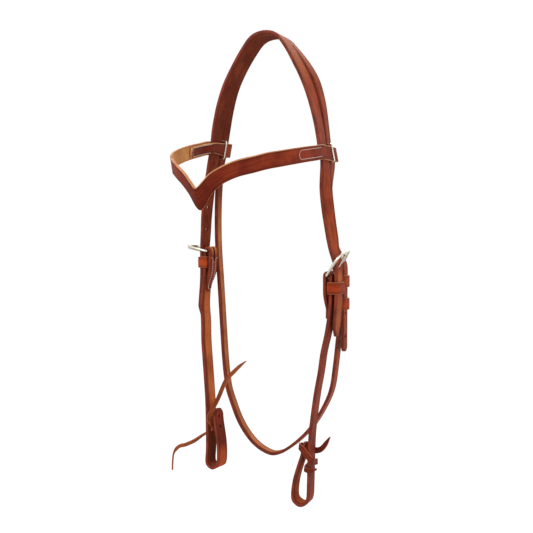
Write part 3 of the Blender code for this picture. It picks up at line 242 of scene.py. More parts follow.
class Route:
    """A smooth line through chosen points, with the direction of a strap's width along it."""

    def __init__(self, knots, outside=1.0, square=True):
        """Each knot is a point and a width direction, which is squared to the line if wanted."""
        self.outside = outside
        self.square = square
        points = [point for point, _ in knots]
        padded = [points[0] * 2 - points[1]] + points + [points[-1] * 2 - points[-2]]
        self.points = []
        self.hints = []
        fine = 10    # points from one knot to the next
        for i in range(len(points) - 1):
            for k in range(fine):
                self.points.append(centripetal(*padded[i:i + 4], k / fine))
                self.hints.append(knots[i][1].lerp(knots[i + 1][1], k / fine))
        self.points.append(points[-1])
        self.hints.append(knots[-1][1])
        self.lengths = [0.0]
        for start, end in zip(self.points, self.points[1:]):
            self.lengths.append(self.lengths[-1] + (end - start).length)
        self.knots = [self.lengths[i * fine] for i in range(len(points))]
        self.length = self.lengths[-1]

    def find(self, distance):
        """The span that holds a distance along the line, and the share of it."""
        distance = min(max(distance, 0.0), self.length)
        low = min(bisect_right(self.lengths, distance) - 1, len(self.lengths) - 2)
        return low, (distance - self.lengths[low]) / (self.lengths[low + 1] - self.lengths[low])

    def heading(self, index):
        """The line's direction at one of its fine points."""
        last = len(self.points) - 1
        return (self.points[min(index + 1, last)] - self.points[max(index - 1, 0)]).normalized()

    def at(self, distance):
        """Point, direction, width direction and outward normal at a distance."""
        i, share = self.find(distance)
        point = self.points[i].lerp(self.points[i + 1], share)
        along = self.heading(i).lerp(self.heading(i + 1), share).normalized()
        hint = self.hints[i].lerp(self.hints[i + 1], share)
        if self.square:
            hint = hint - along * hint.dot(along)
        width = hint.normalized()
        return point, along, width, along.cross(width).normalized() * self.outside

    def stations(self, start, end, turn, reach):
        """Distances that are close where the line bends and far apart where it doesn't."""
        fine = CLEAR * 2
        count = max(2, math.ceil((end - start) / fine))
        found = [start]
        anchor = self.at(start)
        for k in range(1, count):
            distance = start + (end - start) * k / count
            here = self.at(distance)
            bend = max(here[1].angle(anchor[1]), here[2].angle(anchor[2]))
            if bend >= turn or distance - found[-1] >= reach:
                found.append(distance)
                anchor = here
        if end - found[-1] < reach / 8 and len(found) > 1:
            found.pop()
        return found + [end]

    def near(self, place, start=0.0, end=None):
        """The distance of the point nearest to a place, within a stretch of the line."""
        end = self.length if end is None else end
        nearest = []
        for i in range(len(self.points) - 1):
            if self.lengths[i + 1] < start or self.lengths[i] > end:
                continue
            span = self.points[i + 1] - self.points[i]
            share = min(max((place - self.points[i]).dot(span) / span.length_squared, 0.0), 1.0)
            gap = (self.points[i] + span * share - place).length
            nearest.append((gap, self.lengths[i] + span.length * share))
        return min(nearest)[1]

    def matrix(self, distance):
        """A frame on the line: x outwards, y along the width, z against the line's direction."""
        point, _, width, normal = self.at(distance)
        return axes_matrix(point, normal, width, normal.cross(width))


def axes_matrix(point, x, y, z):
    """A matrix from a point and three directions."""
    matrix = Matrix((x, y, z)).transposed().to_4x4()
    matrix.translation = point
    return matrix


def table(shares, share):
    """The value at a share, from rows of a share and a value."""
    for (a, low), (b, high) in zip(shares, shares[1:]):
        if share <= b:
            return low + (high - low) * max(share - a, 0.0) / (b - a)
    return shares[-1][1]


def mirrored(point, sign):
    """A near-side point on the side that the sign names."""
    return Vector((point[0] * sign, point[1], point[2]))


def turned(degrees, sign):
    """The width direction of a strap that is turned about the vertical."""
    angle = math.radians(degrees)
    return Vector((math.sin(angle) * sign, math.cos(angle), 0.0))


def arc(centre_x, centre_y, radius, start, end, count):
    """Points on an arc in a plane, angles in degrees."""
    points = []
    for k in range(count + 1):
        angle = math.radians(start + (end - start) * k / count)
        points.append((centre_x + radius * math.cos(angle), centre_y + radius * math.sin(angle)))
    return points


def rounded_rectangle(half_x, half_y, corner, count=6):
    points = []
    for k, (sx, sy) in enumerate(((1, 1), (-1, 1), (-1, -1), (1, -1))):
        points += arc(sx * (half_x - corner), sy * (half_y - corner), corner, k * 90, k * 90 + 90, count)
    return points


class Side:
    """One side of the headstall: its sign along X and what differs between the sides."""

    def __init__(self, name, sign, **differing):
        vars(self).update(differing, name=name, sign=sign)
        self.outwards = ACROSS * sign
        self.billet_pass = FOLD_RADIUS + LEATHER + self.stand
        self.drop = HEEL_DROP + SLIP * sign
        self.heel = mirrored((HEEL_SPREAD, -HEEL_SETBACK, POLL - self.drop), sign)
        # The browband's end lies where the crown is a little wider or narrower than at the mean level
        self.brow_shift = BROW_RISE * sign * BROW_SLOPE_SHARE

    def buckle_matrix(self):
        """The cheek buckle: x along the heel bar, y to its free end, z to its outer face."""
        return buckle_frame(self.heel, math.radians(self.tilt), self.sign)


def buckle_frame(heel, tilt, sign):
    """x backwards along the heel bar, y from the bar to the free end, z to the outer face."""
    length = ACROSS * (math.sin(tilt) * sign) + UP * math.cos(tilt)
    outer = ACROSS * (math.cos(tilt) * sign) - UP * math.sin(tilt)
    return axes_matrix(heel, length.cross(outer), length, outer)


# What the shapes at the end of each side hold:
# arch_twist: degrees by which the rear edge of the crown stands out, at the places of ARCH_SHARES
# billet: from the browband down, shares of HEEL_SPREAD, shares of the way down to the heel bar, and
# degrees by which the rear edge stands out
# cheek: the strap below the keeper, inwards in shares of the way from the heel to the loop, down in
# shares of CHEEK_DROP
# lace: in a tie's own directions from its middle, outwards in shares of CHEEK_WIDTH, backwards in
# shares of half of it, and down in shares of LOOP_FOLD
# faces: the side of the lace that faces away from the leather at each of its points
NEAR = Side(
    "near", 1.0,
    tail=0.0640,       # heel bar to the tip of the cheek billet
    stand=0.0030,      # gap between the billet and the strap it lies on
    flare=-0.0025,     # how far the tip of the billet stands out
    holes=(),          # punched in the billet, counted upwards from the tongue's hole
    twist=-3.0,        # degrees by which the cheek strap is turned in
    tilt=33.0,         # degrees from upright to the buckle's frame, outwards
    spread=0.0622,     # middle plane to the outer leg of the bit loop
    loop=0.0174,       # middle of one leg to the middle of the other
    neck=0.0076,       # the same where the lace ties the legs
    lining=0.090,      # from the browband's end fold to the tip of its folded end
    lace_width=0.0064,
    arch_twist=(0.0, 3.0, 8.0, 9.0, 5.0, 0.0, -1.0, 0.0, 0.0),
    billet=(
        (0.942, 0.245, 19.0), (0.980, 0.456, 24.0), (1.034, 0.667, 21.0),
        (1.067, 0.790, 10.0), (1.117, 0.900, 4.0),
    ),
    cheek=(
        (0.0, 0.125), (0.20, 0.25), (0.46, 0.335), (0.60, 0.42), (0.83, 0.52), (1.06, 0.69), (1.05, 0.795),
    ),
    lace=(
        (1.02, 1.44, -0.33), (0.47, 1.36, -0.125), (0.125, 1.38, -0.085), (-0.36, 1.42, -0.105),
        (-0.72, 1.22, -0.14), (-0.71, 0.0, -0.165), (-0.66, -1.0, -0.175), (-0.32, -1.30, -0.115),
        (0.08, -1.30, -0.010), (0.25, -1.02, 0.045), (0.235, 0.0, 0.075), (0.21, 1.04, 0.085),
        (-0.06, 1.28, 0.105), (-0.26, 0.95, 0.135), (-0.28, 0.0, 0.160), (-0.25, -0.95, 0.180),
        (0.0, -1.31, 0.190), (0.25, -1.02, 0.195), (0.235, -0.12, 0.200), (0.235, 0.75, 0.205),
    ),
    faces=(
        (0.0, 1.0, 0.0), (0.2, 1.0, 0.0), (0.0, 1.0, 0.0), (0.0, 1.0, 0.0), (-1.0, 1.0, 0.0),
        (-1.0, 0.0, 0.0), (-1.0, -1.0, 0.0), (0.0, -1.0, 0.0), (0.0, -1.0, 0.0), (1.0, -1.0, 0.0),
        (1.0, 0.0, 0.0), (1.0, 1.0, 0.0), (0.0, 1.0, 0.0), (-1.0, 1.0, 0.0), (-1.0, 0.0, 0.0),
        (-1.0, -1.0, 0.0), (0.0, -1.0, 0.0), (1.0, -1.0, 0.0), (1.0, 0.0, 0.0), (1.0, 0.0, 0.0),
    ),
)
OFF = Side(
    "off", -1.0, tail=0.0730, stand=0.0010, flare=0.0032, holes=(-1, 1, 2, 3, 4), twist=-6.0, tilt=78.0,
    spread=0.0592, loop=0.0145, neck=0.0062, lining=0.080, lace_width=0.0046,
    arch_twist=(0.0, 0.0, -1.0, -3.0, -5.0, -4.0, 0.0, 0.0, 0.0),
    billet=((1.003, 0.27, -4.0), (1.058, 0.55, -8.0), (1.082, 0.78, -5.0)),
    cheek=(
        (-0.03, 0.125), (-0.06, 0.25), (0.09, 0.335), (0.19, 0.42), (0.39, 0.52), (0.73, 0.69), (0.87, 0.795),
    ),
    lace=(
        (-3.60, -1.41, -1.045), (-3.08, -1.36, -0.965), (-2.55, -1.34, -0.865), (-1.90, -1.34, -0.725),
        (-1.16, -1.36, -0.40), (-0.62, -1.34, -0.20), (-0.24, -1.20, -0.06), (-0.20, -0.50, 0.04),
        (-0.20, -0.05, 0.105), (-0.13, 0.0, 0.160), (0.19, -0.05, 0.185), (0.64, -0.30, 0.25),
        (1.27, -0.66, 0.353), (1.95, -0.91, 0.423), (2.45, -1.16, 0.459), (2.80, -1.41, 0.561),
        (2.82, -1.66, 0.697), (2.75, -1.91, 0.859),
    ),
    faces=(
        (0.0, -1.0, 0.0), (0.0, -1.0, 0.0), (0.0, -1.0, 0.0), (0.0, -1.0, 0.0), (0.0, -1.0, 0.0),
        (-0.4, -1.0, 0.0), (-1.0, -0.25, 0.0), (-1.0, 0.0, 0.0), (-1.0, 0.0, 0.2), (-0.5, 0.0, 1.0),
        (0.0, 0.0, 1.0), (0.3, -0.3, 1.0), (0.2, -0.6, 0.8), (0.0, -0.8, 0.7), (0.3, -0.8, 0.5),
        (0.8, -0.8, 0.0), (0.8, -0.8, 0.0), (0.8, -0.8, 0.0),
    ),
)

THROAT_FOLD_RADIUS = THROAT_WIRE + CLEAR + LEATHER / 2
THROAT_PASS = THROAT_FOLD_RADIUS + PLY + CLEAR
THROAT_HEEL = Vector((THROAT_SPREAD, THROAT_SETBACK, POLL - THROAT_DROP))

# Edges of the branches where the crown is whole, from its front edge backwards
CROWN_WIDTH = WIDE_BRANCH + SLIT + NARROW_BRANCH
WIDE_MIDDLE = -CROWN_WIDTH / 2 + WIDE_BRANCH / 2
NARROW_MIDDLE = CROWN_WIDTH / 2 - NARROW_BRANCH / 2
SLIT_MIDDLE = -CROWN_WIDTH / 2 + WIDE_BRANCH + SLIT / 2


def arch(side, setback, spread, rise):
    """Knots of a branch down one side of the arch, from the poll."""
    middle = [(Vector((0.0, 0.0, POLL)), BACK)]
    for across, down in ARCH_SHARES:
        middle.append((mirrored((across * ARCH_SPREAD, 0.0, POLL - down * BROW_DROP), side.sign), BACK))
    line = Route(middle, side.sign)
    knots = []
    rows = zip(line.knots[1:], side.arch_twist, SPREAD_SHARES, RISE_SHARES)
    for distance, degrees, spread_share, rise_share in rows:
        point, _, width, normal = line.at(distance)
        angle = math.radians(degrees)
        width = width * math.cos(angle) + normal * math.sin(angle)
        out = normal * (rise * rise_share)
        knots.append((point + width * (setback + spread * spread_share) + out, width))
    return knots


def billet(side):
    """Knots of a cheek billet, from the browband down to its tip."""
    top = ARCH_SHARES[-1][1] * BROW_DROP
    knots = []
    for across, down, twist in side.billet:
        drop = top + (side.drop - top) * down
        setback = WIDE_MIDDLE + (-HEEL_SETBACK - WIDE_MIDDLE) * min(down * 1.2, 1.0)
        point = Vector((across * HEEL_SPREAD, setback, POLL - drop))
        knots.append((mirrored(point, side.sign), mirrored(turned(twist, 1.0), side.sign)))
    heel = Vector((HEEL_SPREAD + side.billet_pass, -HEEL_SETBACK, POLL - side.drop))
    knots.append((mirrored(heel, side.sign), BACK))
    for share, out in ((0.20, 0.0), (0.37, 0.0), (0.50, 0.12), (0.66, 0.45), (0.84, 0.80), (1.0, 1.0)):
        point = heel + ACROSS * (side.flare * out) - UP * (side.tail * share)
        knots.append((mirrored(point, side.sign), BACK))
    return knots


def wide_route():
    """The wide branch: off billet tip, over the poll, near billet tip."""
    off = arch(OFF, WIDE_MIDDLE, -BRANCH_SPREAD, 0.0) + billet(OFF)
    near = arch(NEAR, WIDE_MIDDLE, -BRANCH_SPREAD, 0.0) + billet(NEAR)
    return Route(off[::-1] + [(Vector((0.0, WIDE_MIDDLE, POLL)), BACK)] + near)


def throat_billet():
    """Knots of the throat billet, from the browband to its tip."""
    knots = []
    last = len(THROAT_BILLET_SHARES)
    for k, (across, down) in enumerate(THROAT_BILLET_SHARES):
        setback = NARROW_MIDDLE + (THROAT_SETBACK - NARROW_MIDDLE) * (k + 1) / (last + 1)
        point = Vector((across * THROAT_SPREAD, setback, POLL - down * THROAT_DROP))
        knots.append((point, BACK))
    heel = THROAT_HEEL + ACROSS * THROAT_PASS
    knots += [(THROAT_HEEL + (ACROSS + UP) * (THROAT_PASS * 0.79), BACK), (heel, BACK)]
    for share in (0.25, 0.5, 0.75, 1.0):
        knots.append((heel - UP * (THROAT_TAIL * share), BACK))
    return knots


def throatlatch():
    """Knots of the throatlatch from its fold on the near side to the off side of the crown."""
    knots = []
    top = THROAT_HEEL + ACROSS * THROAT_FOLD_RADIUS
    for share in (0.0, 0.25, 0.5, 0.75, 1.0):
        knots.append((top - UP * (THROAT_STRAIGHT * share), BACK))
    knots = fold(THROAT_HEEL, THROAT_FOLD_RADIUS, THROAT_FOLD_BACK, THROAT_KEEPER_END, knots) + knots[1:]
    straight_end = THROAT_DROP + THROAT_STRAIGHT
    rows = [(across, straight_end + (THROATLATCH_DROP - straight_end) * down, setback)
            for across, down, setback in NEAR_THROATLATCH_SHARES]
    rows += [(across, down * THROATLATCH_DROP, setback) for across, down, setback in OFF_THROATLATCH_SHARES]
    for across, drop, setback in rows:
        knots.append((Vector((across * THROAT_SPREAD, setback * THROAT_SETBACK, POLL - drop)), BACK))
    return knots


def fold(heel, radius, length, keeper_end, main):
    """Knots of a fold round a heel bar: up the inner ply and over the bar, ending at its outer side.

    The inner ply stays clear of the main one while it passes the bar and the keeper, then closes up."""
    line = Route(main)
    knots = []
    for share, closing in FOLD_CLOSING_SHARES:
        distance = keeper_end + (length - keeper_end) * share
        point, _, width, normal = line.at(distance)
        knots.append((point - normal * (2 * radius + closing * (PLY - 2 * radius)), width))
    point, _, width, normal = line.at(keeper_end / 2)
    knots.append((point - normal * (2 * radius), width))
    for degrees in (180, 150, 120, 90, 60, 30, 0):
        angle = math.radians(degrees)
        knots.append((heel + ACROSS * (radius * math.cos(angle)) + UP * (radius * math.sin(angle)), BACK))
    return knots


def narrow_route():
    """The narrow branch: throat fold, throatlatch, off side, poll, near throat billet."""
    off = arch(OFF, NARROW_MIDDLE, BRANCH_SPREAD, BRANCH_RISE)
    near = arch(NEAR, NARROW_MIDDLE, BRANCH_SPREAD, BRANCH_RISE) + throat_billet()
    return Route(throatlatch() + off[::-1] + [(Vector((0.0, NARROW_MIDDLE, POLL)), BACK)] + near)


def forward(down):
    """How far ahead of its heel bar a cheek strap hangs: it is straight as far as the keeper."""
    return CHEEK_FORWARD * max(down - KEEPER_END, 0.0) / (CHEEK_DROP - KEEPER_END)


def cheek_route(side):
    """A cheek strap: the inner ply up, over the heel bar, down, and round the bit loop."""
    heel = mirrored(side.heel, side.sign)
    top = HEEL_SPREAD + FOLD_RADIUS

    def spot(across, down):
        point = Vector((across, heel.y - forward(down), heel.z - down))
        turning = min(1.0, max(down - KEEPER_END, 0.0) / (CHEEK_DROP * 0.27))
        return point, turned(side.twist * turning, 1.0)

    main = [spot(top, 0.0), spot(top, KEEPER_DROP)]
    for inwards, down in side.cheek:
        main.append(spot(top + (side.spread - top) * inwards, down * CHEEK_DROP))
    radius = side.loop / 2
    turn_drop = CHEEK_DROP - radius
    middle = side.spread - radius
    main.append(spot(side.spread, turn_drop - radius * 1.4))
    for degrees in (0, -35, -90, -145, -180):
        angle = math.radians(degrees)
        main.append(spot(middle + radius * math.cos(angle), turn_drop - radius * math.sin(angle)))
    inner_low = middle - radius
    inner_high = side.spread - side.neck
    end = CHEEK_DROP - LOOP_FOLD
    for share, closing in ((0.28, 0.10), (0.55, 0.48), (0.78, 0.86), (1.0, 1.0)):
        down = turn_drop + (end - turn_drop) * share
        main.append(spot(inner_low + (inner_high - inner_low) * closing, down))
    knots = fold(heel, FOLD_RADIUS, FOLD_BACK, KEEPER_END, main) + main[1:]
    knots = [(mirrored(point, side.sign), mirrored(hint, side.sign)) for point, hint in knots]
    return Route(knots, side.sign)


def brow_plan():
    """The near half of the browband's outer ply in plan, from the end fold to the front."""
    side = ARCH_SPREAD + BROW_OVER
    points = [
        Vector((side, BROW_TAB, 0.0)),
        Vector((side, SLIT_MIDDLE, 0.0)),
        Vector((side, WIDE_MIDDLE, 0.0)),
    ]
    for x, y in [(1.0, 0.0)] + arc(0.0, 0.0, 1.0, 7.5, 82.5, 10) + [(0.0, 1.0)]:
        x, y = x ** BROW_ROUND_SHARE, y ** BROW_ROUND_SHARE
        points.append(Vector((side * x, -BROW_START - BROW_REACH * y, 0.0)))
    return points


def brow_route():
    """The whole browband, from the tip of the off folded end to the tip of the near one."""
    flat = Route([(point, UP) for point in brow_plan()])
    # From the crown's side forwards the band drops into its V
    start = flat.near(Vector((ARCH_SPREAD + BROW_OVER, -BROW_START, 0.0)))
    half = flat.length - start

    def height(distance, side):
        share = max(distance - start, 0.0) / half
        drop = table([row[:2] for row in V_SHARES], share) * V_DROP
        rise = BROW_RISE * side.sign * (1.0 - share)
        return POLL - BROW_DROP - rise - drop

    def lean(distance, side):
        share = max(distance - start, 0.0) / half
        slope = BROW_SLOPE_SHARE * (1.0 - min(share / 0.4, 1.0))
        ahead = math.tan(math.radians(V_LEAN)) * max(share - 0.5, 0.0) * 2.0
        outwards = flat.at(distance)[3] * -ahead - ACROSS * slope
        return (UP + mirrored(outwards, side.sign)).normalized()

    def knot(distance, inwards, side):
        point, _, _, normal = flat.at(distance)
        share = max(distance - start, 0.0) / half
        spot = point + normal * inwards + ACROSS * (side.brow_shift * (1.0 - share))
        spot = mirrored(spot, side.sign)
        spot.z = height(distance, side)
        return spot, lean(distance, side)

    crown_front = CROWN_WIDTH / 2 + BRANCH_SPREAD
    at_crown_rear = flat.near(Vector((ARCH_SPREAD + BROW_OVER, crown_front, 0.0)))
    at_crown_front = flat.near(Vector((ARCH_SPREAD + BROW_OVER, -crown_front, 0.0)))
    wide_apart = 2 * BROW_OVER

    def end(side):
        """Knots from the tip of a folded end, round its fold."""
        inner = [(0.0, wide_apart)]
        for share in (0.3, 0.7):
            inner.append((at_crown_rear + (at_crown_front - at_crown_rear) * share, wide_apart))
        for share, closing in CLOSING_SHARES:
            inner.append((at_crown_front + (side.lining - at_crown_front) * share,
                          wide_apart + (BROW_PLY - wide_apart) * closing))
        knots = [knot(distance, inwards, side) for distance, inwards in inner[::-1]]
        centre = Vector(((ARCH_SPREAD + side.brow_shift) * side.sign, BROW_TAB, height(0.0, side)))
        for degrees in (30, 60, 90, 120, 150):
            angle = math.radians(180 - degrees)
            offset = ACROSS * (math.cos(angle) * side.sign) + BACK * math.sin(angle)
            knots.append((centre + offset * BROW_OVER, lean(0.0, side)))
        return knots

    distances = flat.knots[:4] + [start + half * share for share in (0.12, 0.24, 0.36, 0.48, 0.58, 0.68)]
    distances += [start + half * row[0] for row in V_SHARES[3:]]
    off = [knot(distance, 0.0, OFF) for distance in distances]
    near = [knot(distance, 0.0, NEAR) for distance in distances[:-1]]
    first = end(OFF)
    return Route(first + off + near[::-1] + end(NEAR)[::-1], square=False), len(first), len(off)


WIDE = wide_route()
NARROW = narrow_route()
CHEEKS = {side: cheek_route(side) for side in (NEAR, OFF)}
BROW, BROW_END_KNOTS, BROW_HALF_KNOTS = brow_route()
THROAT_BUCKLE = buckle_frame(THROAT_HEEL, math.radians(THROAT_TILT), 1.0)
FLOOR_SIZE = 6.0
WHITE = (1.0, 1.0, 1.0)
SHARP = math.radians(42.0)   # edges sharper than this aren't smoothed over


# Sizes and colours

def painted(red, green, blue):
    """A colour from its screen values, 0 to 255, as light values."""
    levels = []
    for level in (red, green, blue):
        share = level / 255
        levels.append(share / 12.92 if share <= 0.04045 else ((share + 0.055) / 1.055) ** 2.4)
    return tuple(levels)


def length(name, description, default):
    return FloatProperty(name=name, description=description, default=default, unit="LENGTH", precision=5)


def color(name, description, *levels):
    return FloatVectorProperty(name=name, description=description, default=painted(*levels),
                               subtype="COLOR", size=3, min=0.0, max=1.0)


class HeadstallSizes(PropertyGroup):
    """Sizes of the finish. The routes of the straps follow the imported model."""

    edge_round: length("Edge rounding", "Rounding of a strap's edges", 0.0007)
    edge_segments: IntProperty(name="Edge segments", description="Facets round an edge", default=3)
    row_reach: length("Row spacing", "Longest stretch of strap between two rows", 0.005)
    row_turn: FloatProperty(name="Row turn", description="Largest turn between two rows",
                            default=0.09, subtype="ANGLE")
    edge_column: length("Edge column", "From a strap's edge to its next line of points", 0.0013)
    wire_sides: IntProperty(name="Wire sides", description="Facets round a wire", default=16)
    thread: length("Thread", "Radius of the thread", 0.00038)
    stitch_pitch: length("Stitch pitch", "From one stitch to the next", 0.0021)
    stitch_gap: length("Stitch gap", "Between the ends of two stitches", 0.0004)
    keeper_crown: length("Keeper swell", "How far the middle of a keeper stands out", 0.0003)
    hole_flare: length("Hole flare", "How much wider a hole is at the leather's faces", 0.0003)


class HeadstallColors(PropertyGroup):
    """Colours of the leathers, thread and steel."""

    crown_light: color("Crown, light", "Grain side of the crown", 176, 82, 50)
    crown_dark: color("Crown, dark", "Grain side of the crown", 126, 48, 32)
    brow_light: color("Browband, light", "Grain side of the browband", 160, 64, 38)
    brow_dark: color("Browband, dark", "Grain side of the browband", 108, 35, 22)
    cheek_light: color("Cheek, light", "Grain side of the cheek straps", 152, 62, 38)
    cheek_dark: color("Cheek, dark", "Grain side of the cheek straps", 100, 36, 23)
    burnished: color("Burnished", "Grain where it is rubbed dark", 74, 24, 18)
    raw: color("Raw leather", "Flesh side of the browband", 222, 160, 98)
    raw_dark: color("Raw leather, dark", "Flesh side of the browband", 190, 124, 70)
    oiled: color("Oiled flesh", "Flesh side of the crown and the cheek straps", 210, 116, 64)
    oiled_dark: color("Oiled flesh, dark", "Flesh side of the crown and the cheek straps", 160, 78, 43)
    edge: color("Cut edge", "Edges of the straps", 138, 55, 35)
    edge_dark: color("Cut edge, dark", "Edges of the straps", 98, 35, 25)
    # The pale edge colour is also painted as a highlight along the browband's upper edge
    pale_edge: color("Pale edge", "Edges of the browband and the keepers", 236, 172, 122)
    pale_edge_dark: color("Pale edge, dark", "Edges of the browband and the keepers", 190, 118, 76)
    inner_light: color("Crown's inside", "Flesh side of the crown over the poll", 138, 64, 40)
    inner_dark: color("Crown's inside, dark", "Flesh side of the crown over the poll", 96, 38, 24)
    tan_light: color("Throatlatch's inside", "Flesh side of the throatlatch", 206, 128, 82)
    tan_dark: color("Throatlatch's inside, dark", "Flesh side of the throatlatch", 158, 88, 56)
    keeper_light: color("Keeper, light", "Keepers", 190, 82, 42)
    keeper_dark: color("Keeper, dark", "Keepers", 146, 50, 26)
    lace_light: color("Lace, light", "Tie laces", 190, 104, 56)
    lace_dark: color("Lace, dark", "Tie laces", 132, 60, 34)
    flesh_edge: color("Oiled flesh, edge", "Oiled border of the flesh side", 118, 44, 29)
    # The colour below lightens stretched folds and is also the colour of painted highlights
    bend: color("Bends", "Grain where a fold is stretched and lighter", 208, 122, 56)
    # The colour below paints shade inside the off loop and over the off folded end, and also darkens the
    # browband's front and a lace's end
    shade_and_dark_spots: color("Soaked", "Grain where the leather is darkest", 84, 28, 19)
    near_lace_light: color("Near lace, light", "Lace of the near bit loop", 158, 66, 40)
    near_lace_dark: color("Near lace, dark", "Lace of the near bit loop", 104, 36, 25)
    thread: color("Thread", "Stitching", 230, 216, 200)
    steel: color("Steel", "Buckles and loops", 222, 216, 202)


class HeadstallStage(PropertyGroup):
    """The camera's place and the light."""

    azimuth: FloatProperty(name="Azimuth", description="Camera's turn towards the near side",
                           default=math.radians(27.0), subtype="ANGLE")
    elevation: FloatProperty(name="Elevation", description="Camera's height as an angle",
                             default=math.radians(2.75), subtype="ANGLE")
    distance: length("Distance", "Camera to its target", 0.8265)
    target: FloatVectorProperty(name="Target", description="Where the camera looks", size=3,
                                default=(0.0024, -0.0122, -0.2499), subtype="TRANSLATION")
    lens: FloatProperty(name="Lens", description="Focal length in millimetres", default=51.33)
    floor_drop: length("Floor", "Lowest point of the headstall to the floor", 0.22)
    key_power: FloatProperty(name="Key light", description="Power of the main lamp in watts", default=9.0)
    fill_power: FloatProperty(name="Fill light", description="Power of the fill lamp in watts", default=4.0)
    rim_power: FloatProperty(name="Back light", description="Power of the lamp behind in watts", default=4.0)
    sky: FloatProperty(name="Sky", description="Strength of the light from all round", default=0.55)


# Shader nodes

class Value:
    """A socket that takes part in sums."""

    def __init__(self, graph, node, output):
        self.graph = graph
        self.node = node
        self.socket = node.outputs[output]

    def output(self, name):
        return Value(self.graph, self.node, name)

    def math(self, operation, first, second=None):
        return self.graph.add("ShaderNodeMath", {"operation": operation}, {0: first, 1: second})

    def __add__(self, other):
        return self.math("ADD", self, other)

    def __radd__(self, other):
        return self.math("ADD", other, self)

    def __sub__(self, other):
        return self.math("SUBTRACT", self, other)

    def __rsub__(self, other):
        return self.math("SUBTRACT", other, self)

    def __mul__(self, other):
        return self.math("MULTIPLY", self, other)

    def __rmul__(self, other):
        return self.math("MULTIPLY", other, self)

    def __abs__(self):
        return self.math("ABSOLUTE", self)


class Graph:
    """The nodes of a material or of the world."""

    def __init__(self, name, kind="materials"):
        self.owner = getattr(bpy.data, kind).new(name)
        self.owner.use_nodes = True
        self.nodes = self.owner.node_tree.nodes
        self.links = self.owner.node_tree.links

    def add(self, kind, settings, inputs, output=0):
        """A node from its type, its settings and the values or links of its sockets."""
        node = self.nodes.new(kind)
        for name, setting in settings.items():
            setattr(node, name, setting)
        for name, value in inputs.items():
            self.feed(node.inputs[name], value)
        return Value(self, node, output)

    def feed(self, socket, value):
        if isinstance(value, Value):
            self.links.new(value.socket, socket)
        elif value is not None:
            colored = socket.type == "RGBA" and len(value) == 3
            socket.default_value = (*value, 1.0) if colored else value

    def surface(self, **inputs):
        """Feed the shader's own sockets, named with underscores for spaces."""
        shader = self.nodes["Principled BSDF"]
        for name, value in inputs.items():
            self.feed(shader.inputs[name.replace("_", " ")], value)
        return self.owner

    def backdrop(self, output, unseen, seen):
        """Show one shader to the camera, in reflections and through glass, and another to the rest."""
        path = self.add("ShaderNodeLightPath", {}, {}, "Is Camera Ray")
        share = self.add("ShaderNodeMath", {"operation": "ADD", "use_clamp": True},
                         {0: path + path.output("Is Glossy Ray"), 1: path.output("Is Transmission Ray")})
        mixed = self.add("ShaderNodeMixShader", {}, {0: share, 1: unseen, 2: seen})
        self.feed(self.nodes.new(output).inputs["Surface"], mixed)
        return self.owner

    def place(self):
        return self.add("ShaderNodeTexCoord", {}, {}, "Object")

    def map(self, name):
        return self.add("ShaderNodeUVMap", {"uv_map": name}, {})

    def stretch(self, vector, *scale):
        return self.add("ShaderNodeMapping", {}, {"Vector": vector, "Scale": scale})

    def part(self, vector, axis):
        return self.add("ShaderNodeSeparateXYZ", {}, {"Vector": vector}, axis)

    def noise(self, vector, scale, detail=3.0, roughness=0.55):
        inputs = {"Vector": vector, "Scale": scale, "Detail": detail, "Roughness": roughness}
        return self.add("ShaderNodeTexNoise", {}, inputs, "Fac")

    def cells(self, vector, scale):
        return self.add("ShaderNodeTexVoronoi", {}, {"Vector": vector, "Scale": scale}, "Distance")

    def ramp(self, value, low, high, start=0.0, end=1.0):
        """A value that goes from start to end while another goes from low to high."""
        inputs = {"Value": value, "From Min": low, "From Max": high, "To Min": start, "To Max": end}
        return self.add("ShaderNodeMapRange", {"interpolation_type": "SMOOTHSTEP"}, inputs)

    def mix(self, factor, first, second, blend="MIX"):
        settings = {"data_type": "RGBA", "blend_type": blend}
        return self.add("ShaderNodeMix", settings, {0: factor, 6: first, 7: second}, 2)

    def bump(self, height, strength, distance):
        inputs = {"Height": height, "Strength": strength, "Distance": distance}
        return self.add("ShaderNodeBump", {}, inputs)


def shared(name, build, *arguments):
    """A material that several pieces use, built once."""
    return bpy.data.materials.get(name) or build(name, *arguments)


def painted_patches(g, place, shade, patches):
    """The colour with patches painted lighter or darker, most of them painted highlights and painted shade: a
    centre, a reach, a colour and a strength.
    """
    for centre, reach, tint, strength in patches:
        away = g.add("ShaderNodeVectorMath", {"operation": "DISTANCE"}, {0: place, 1: centre}, "Value")
        shade = g.mix(g.ramp(away, reach * 0.3, reach, strength, 0.0), shade, tint)
    return shade


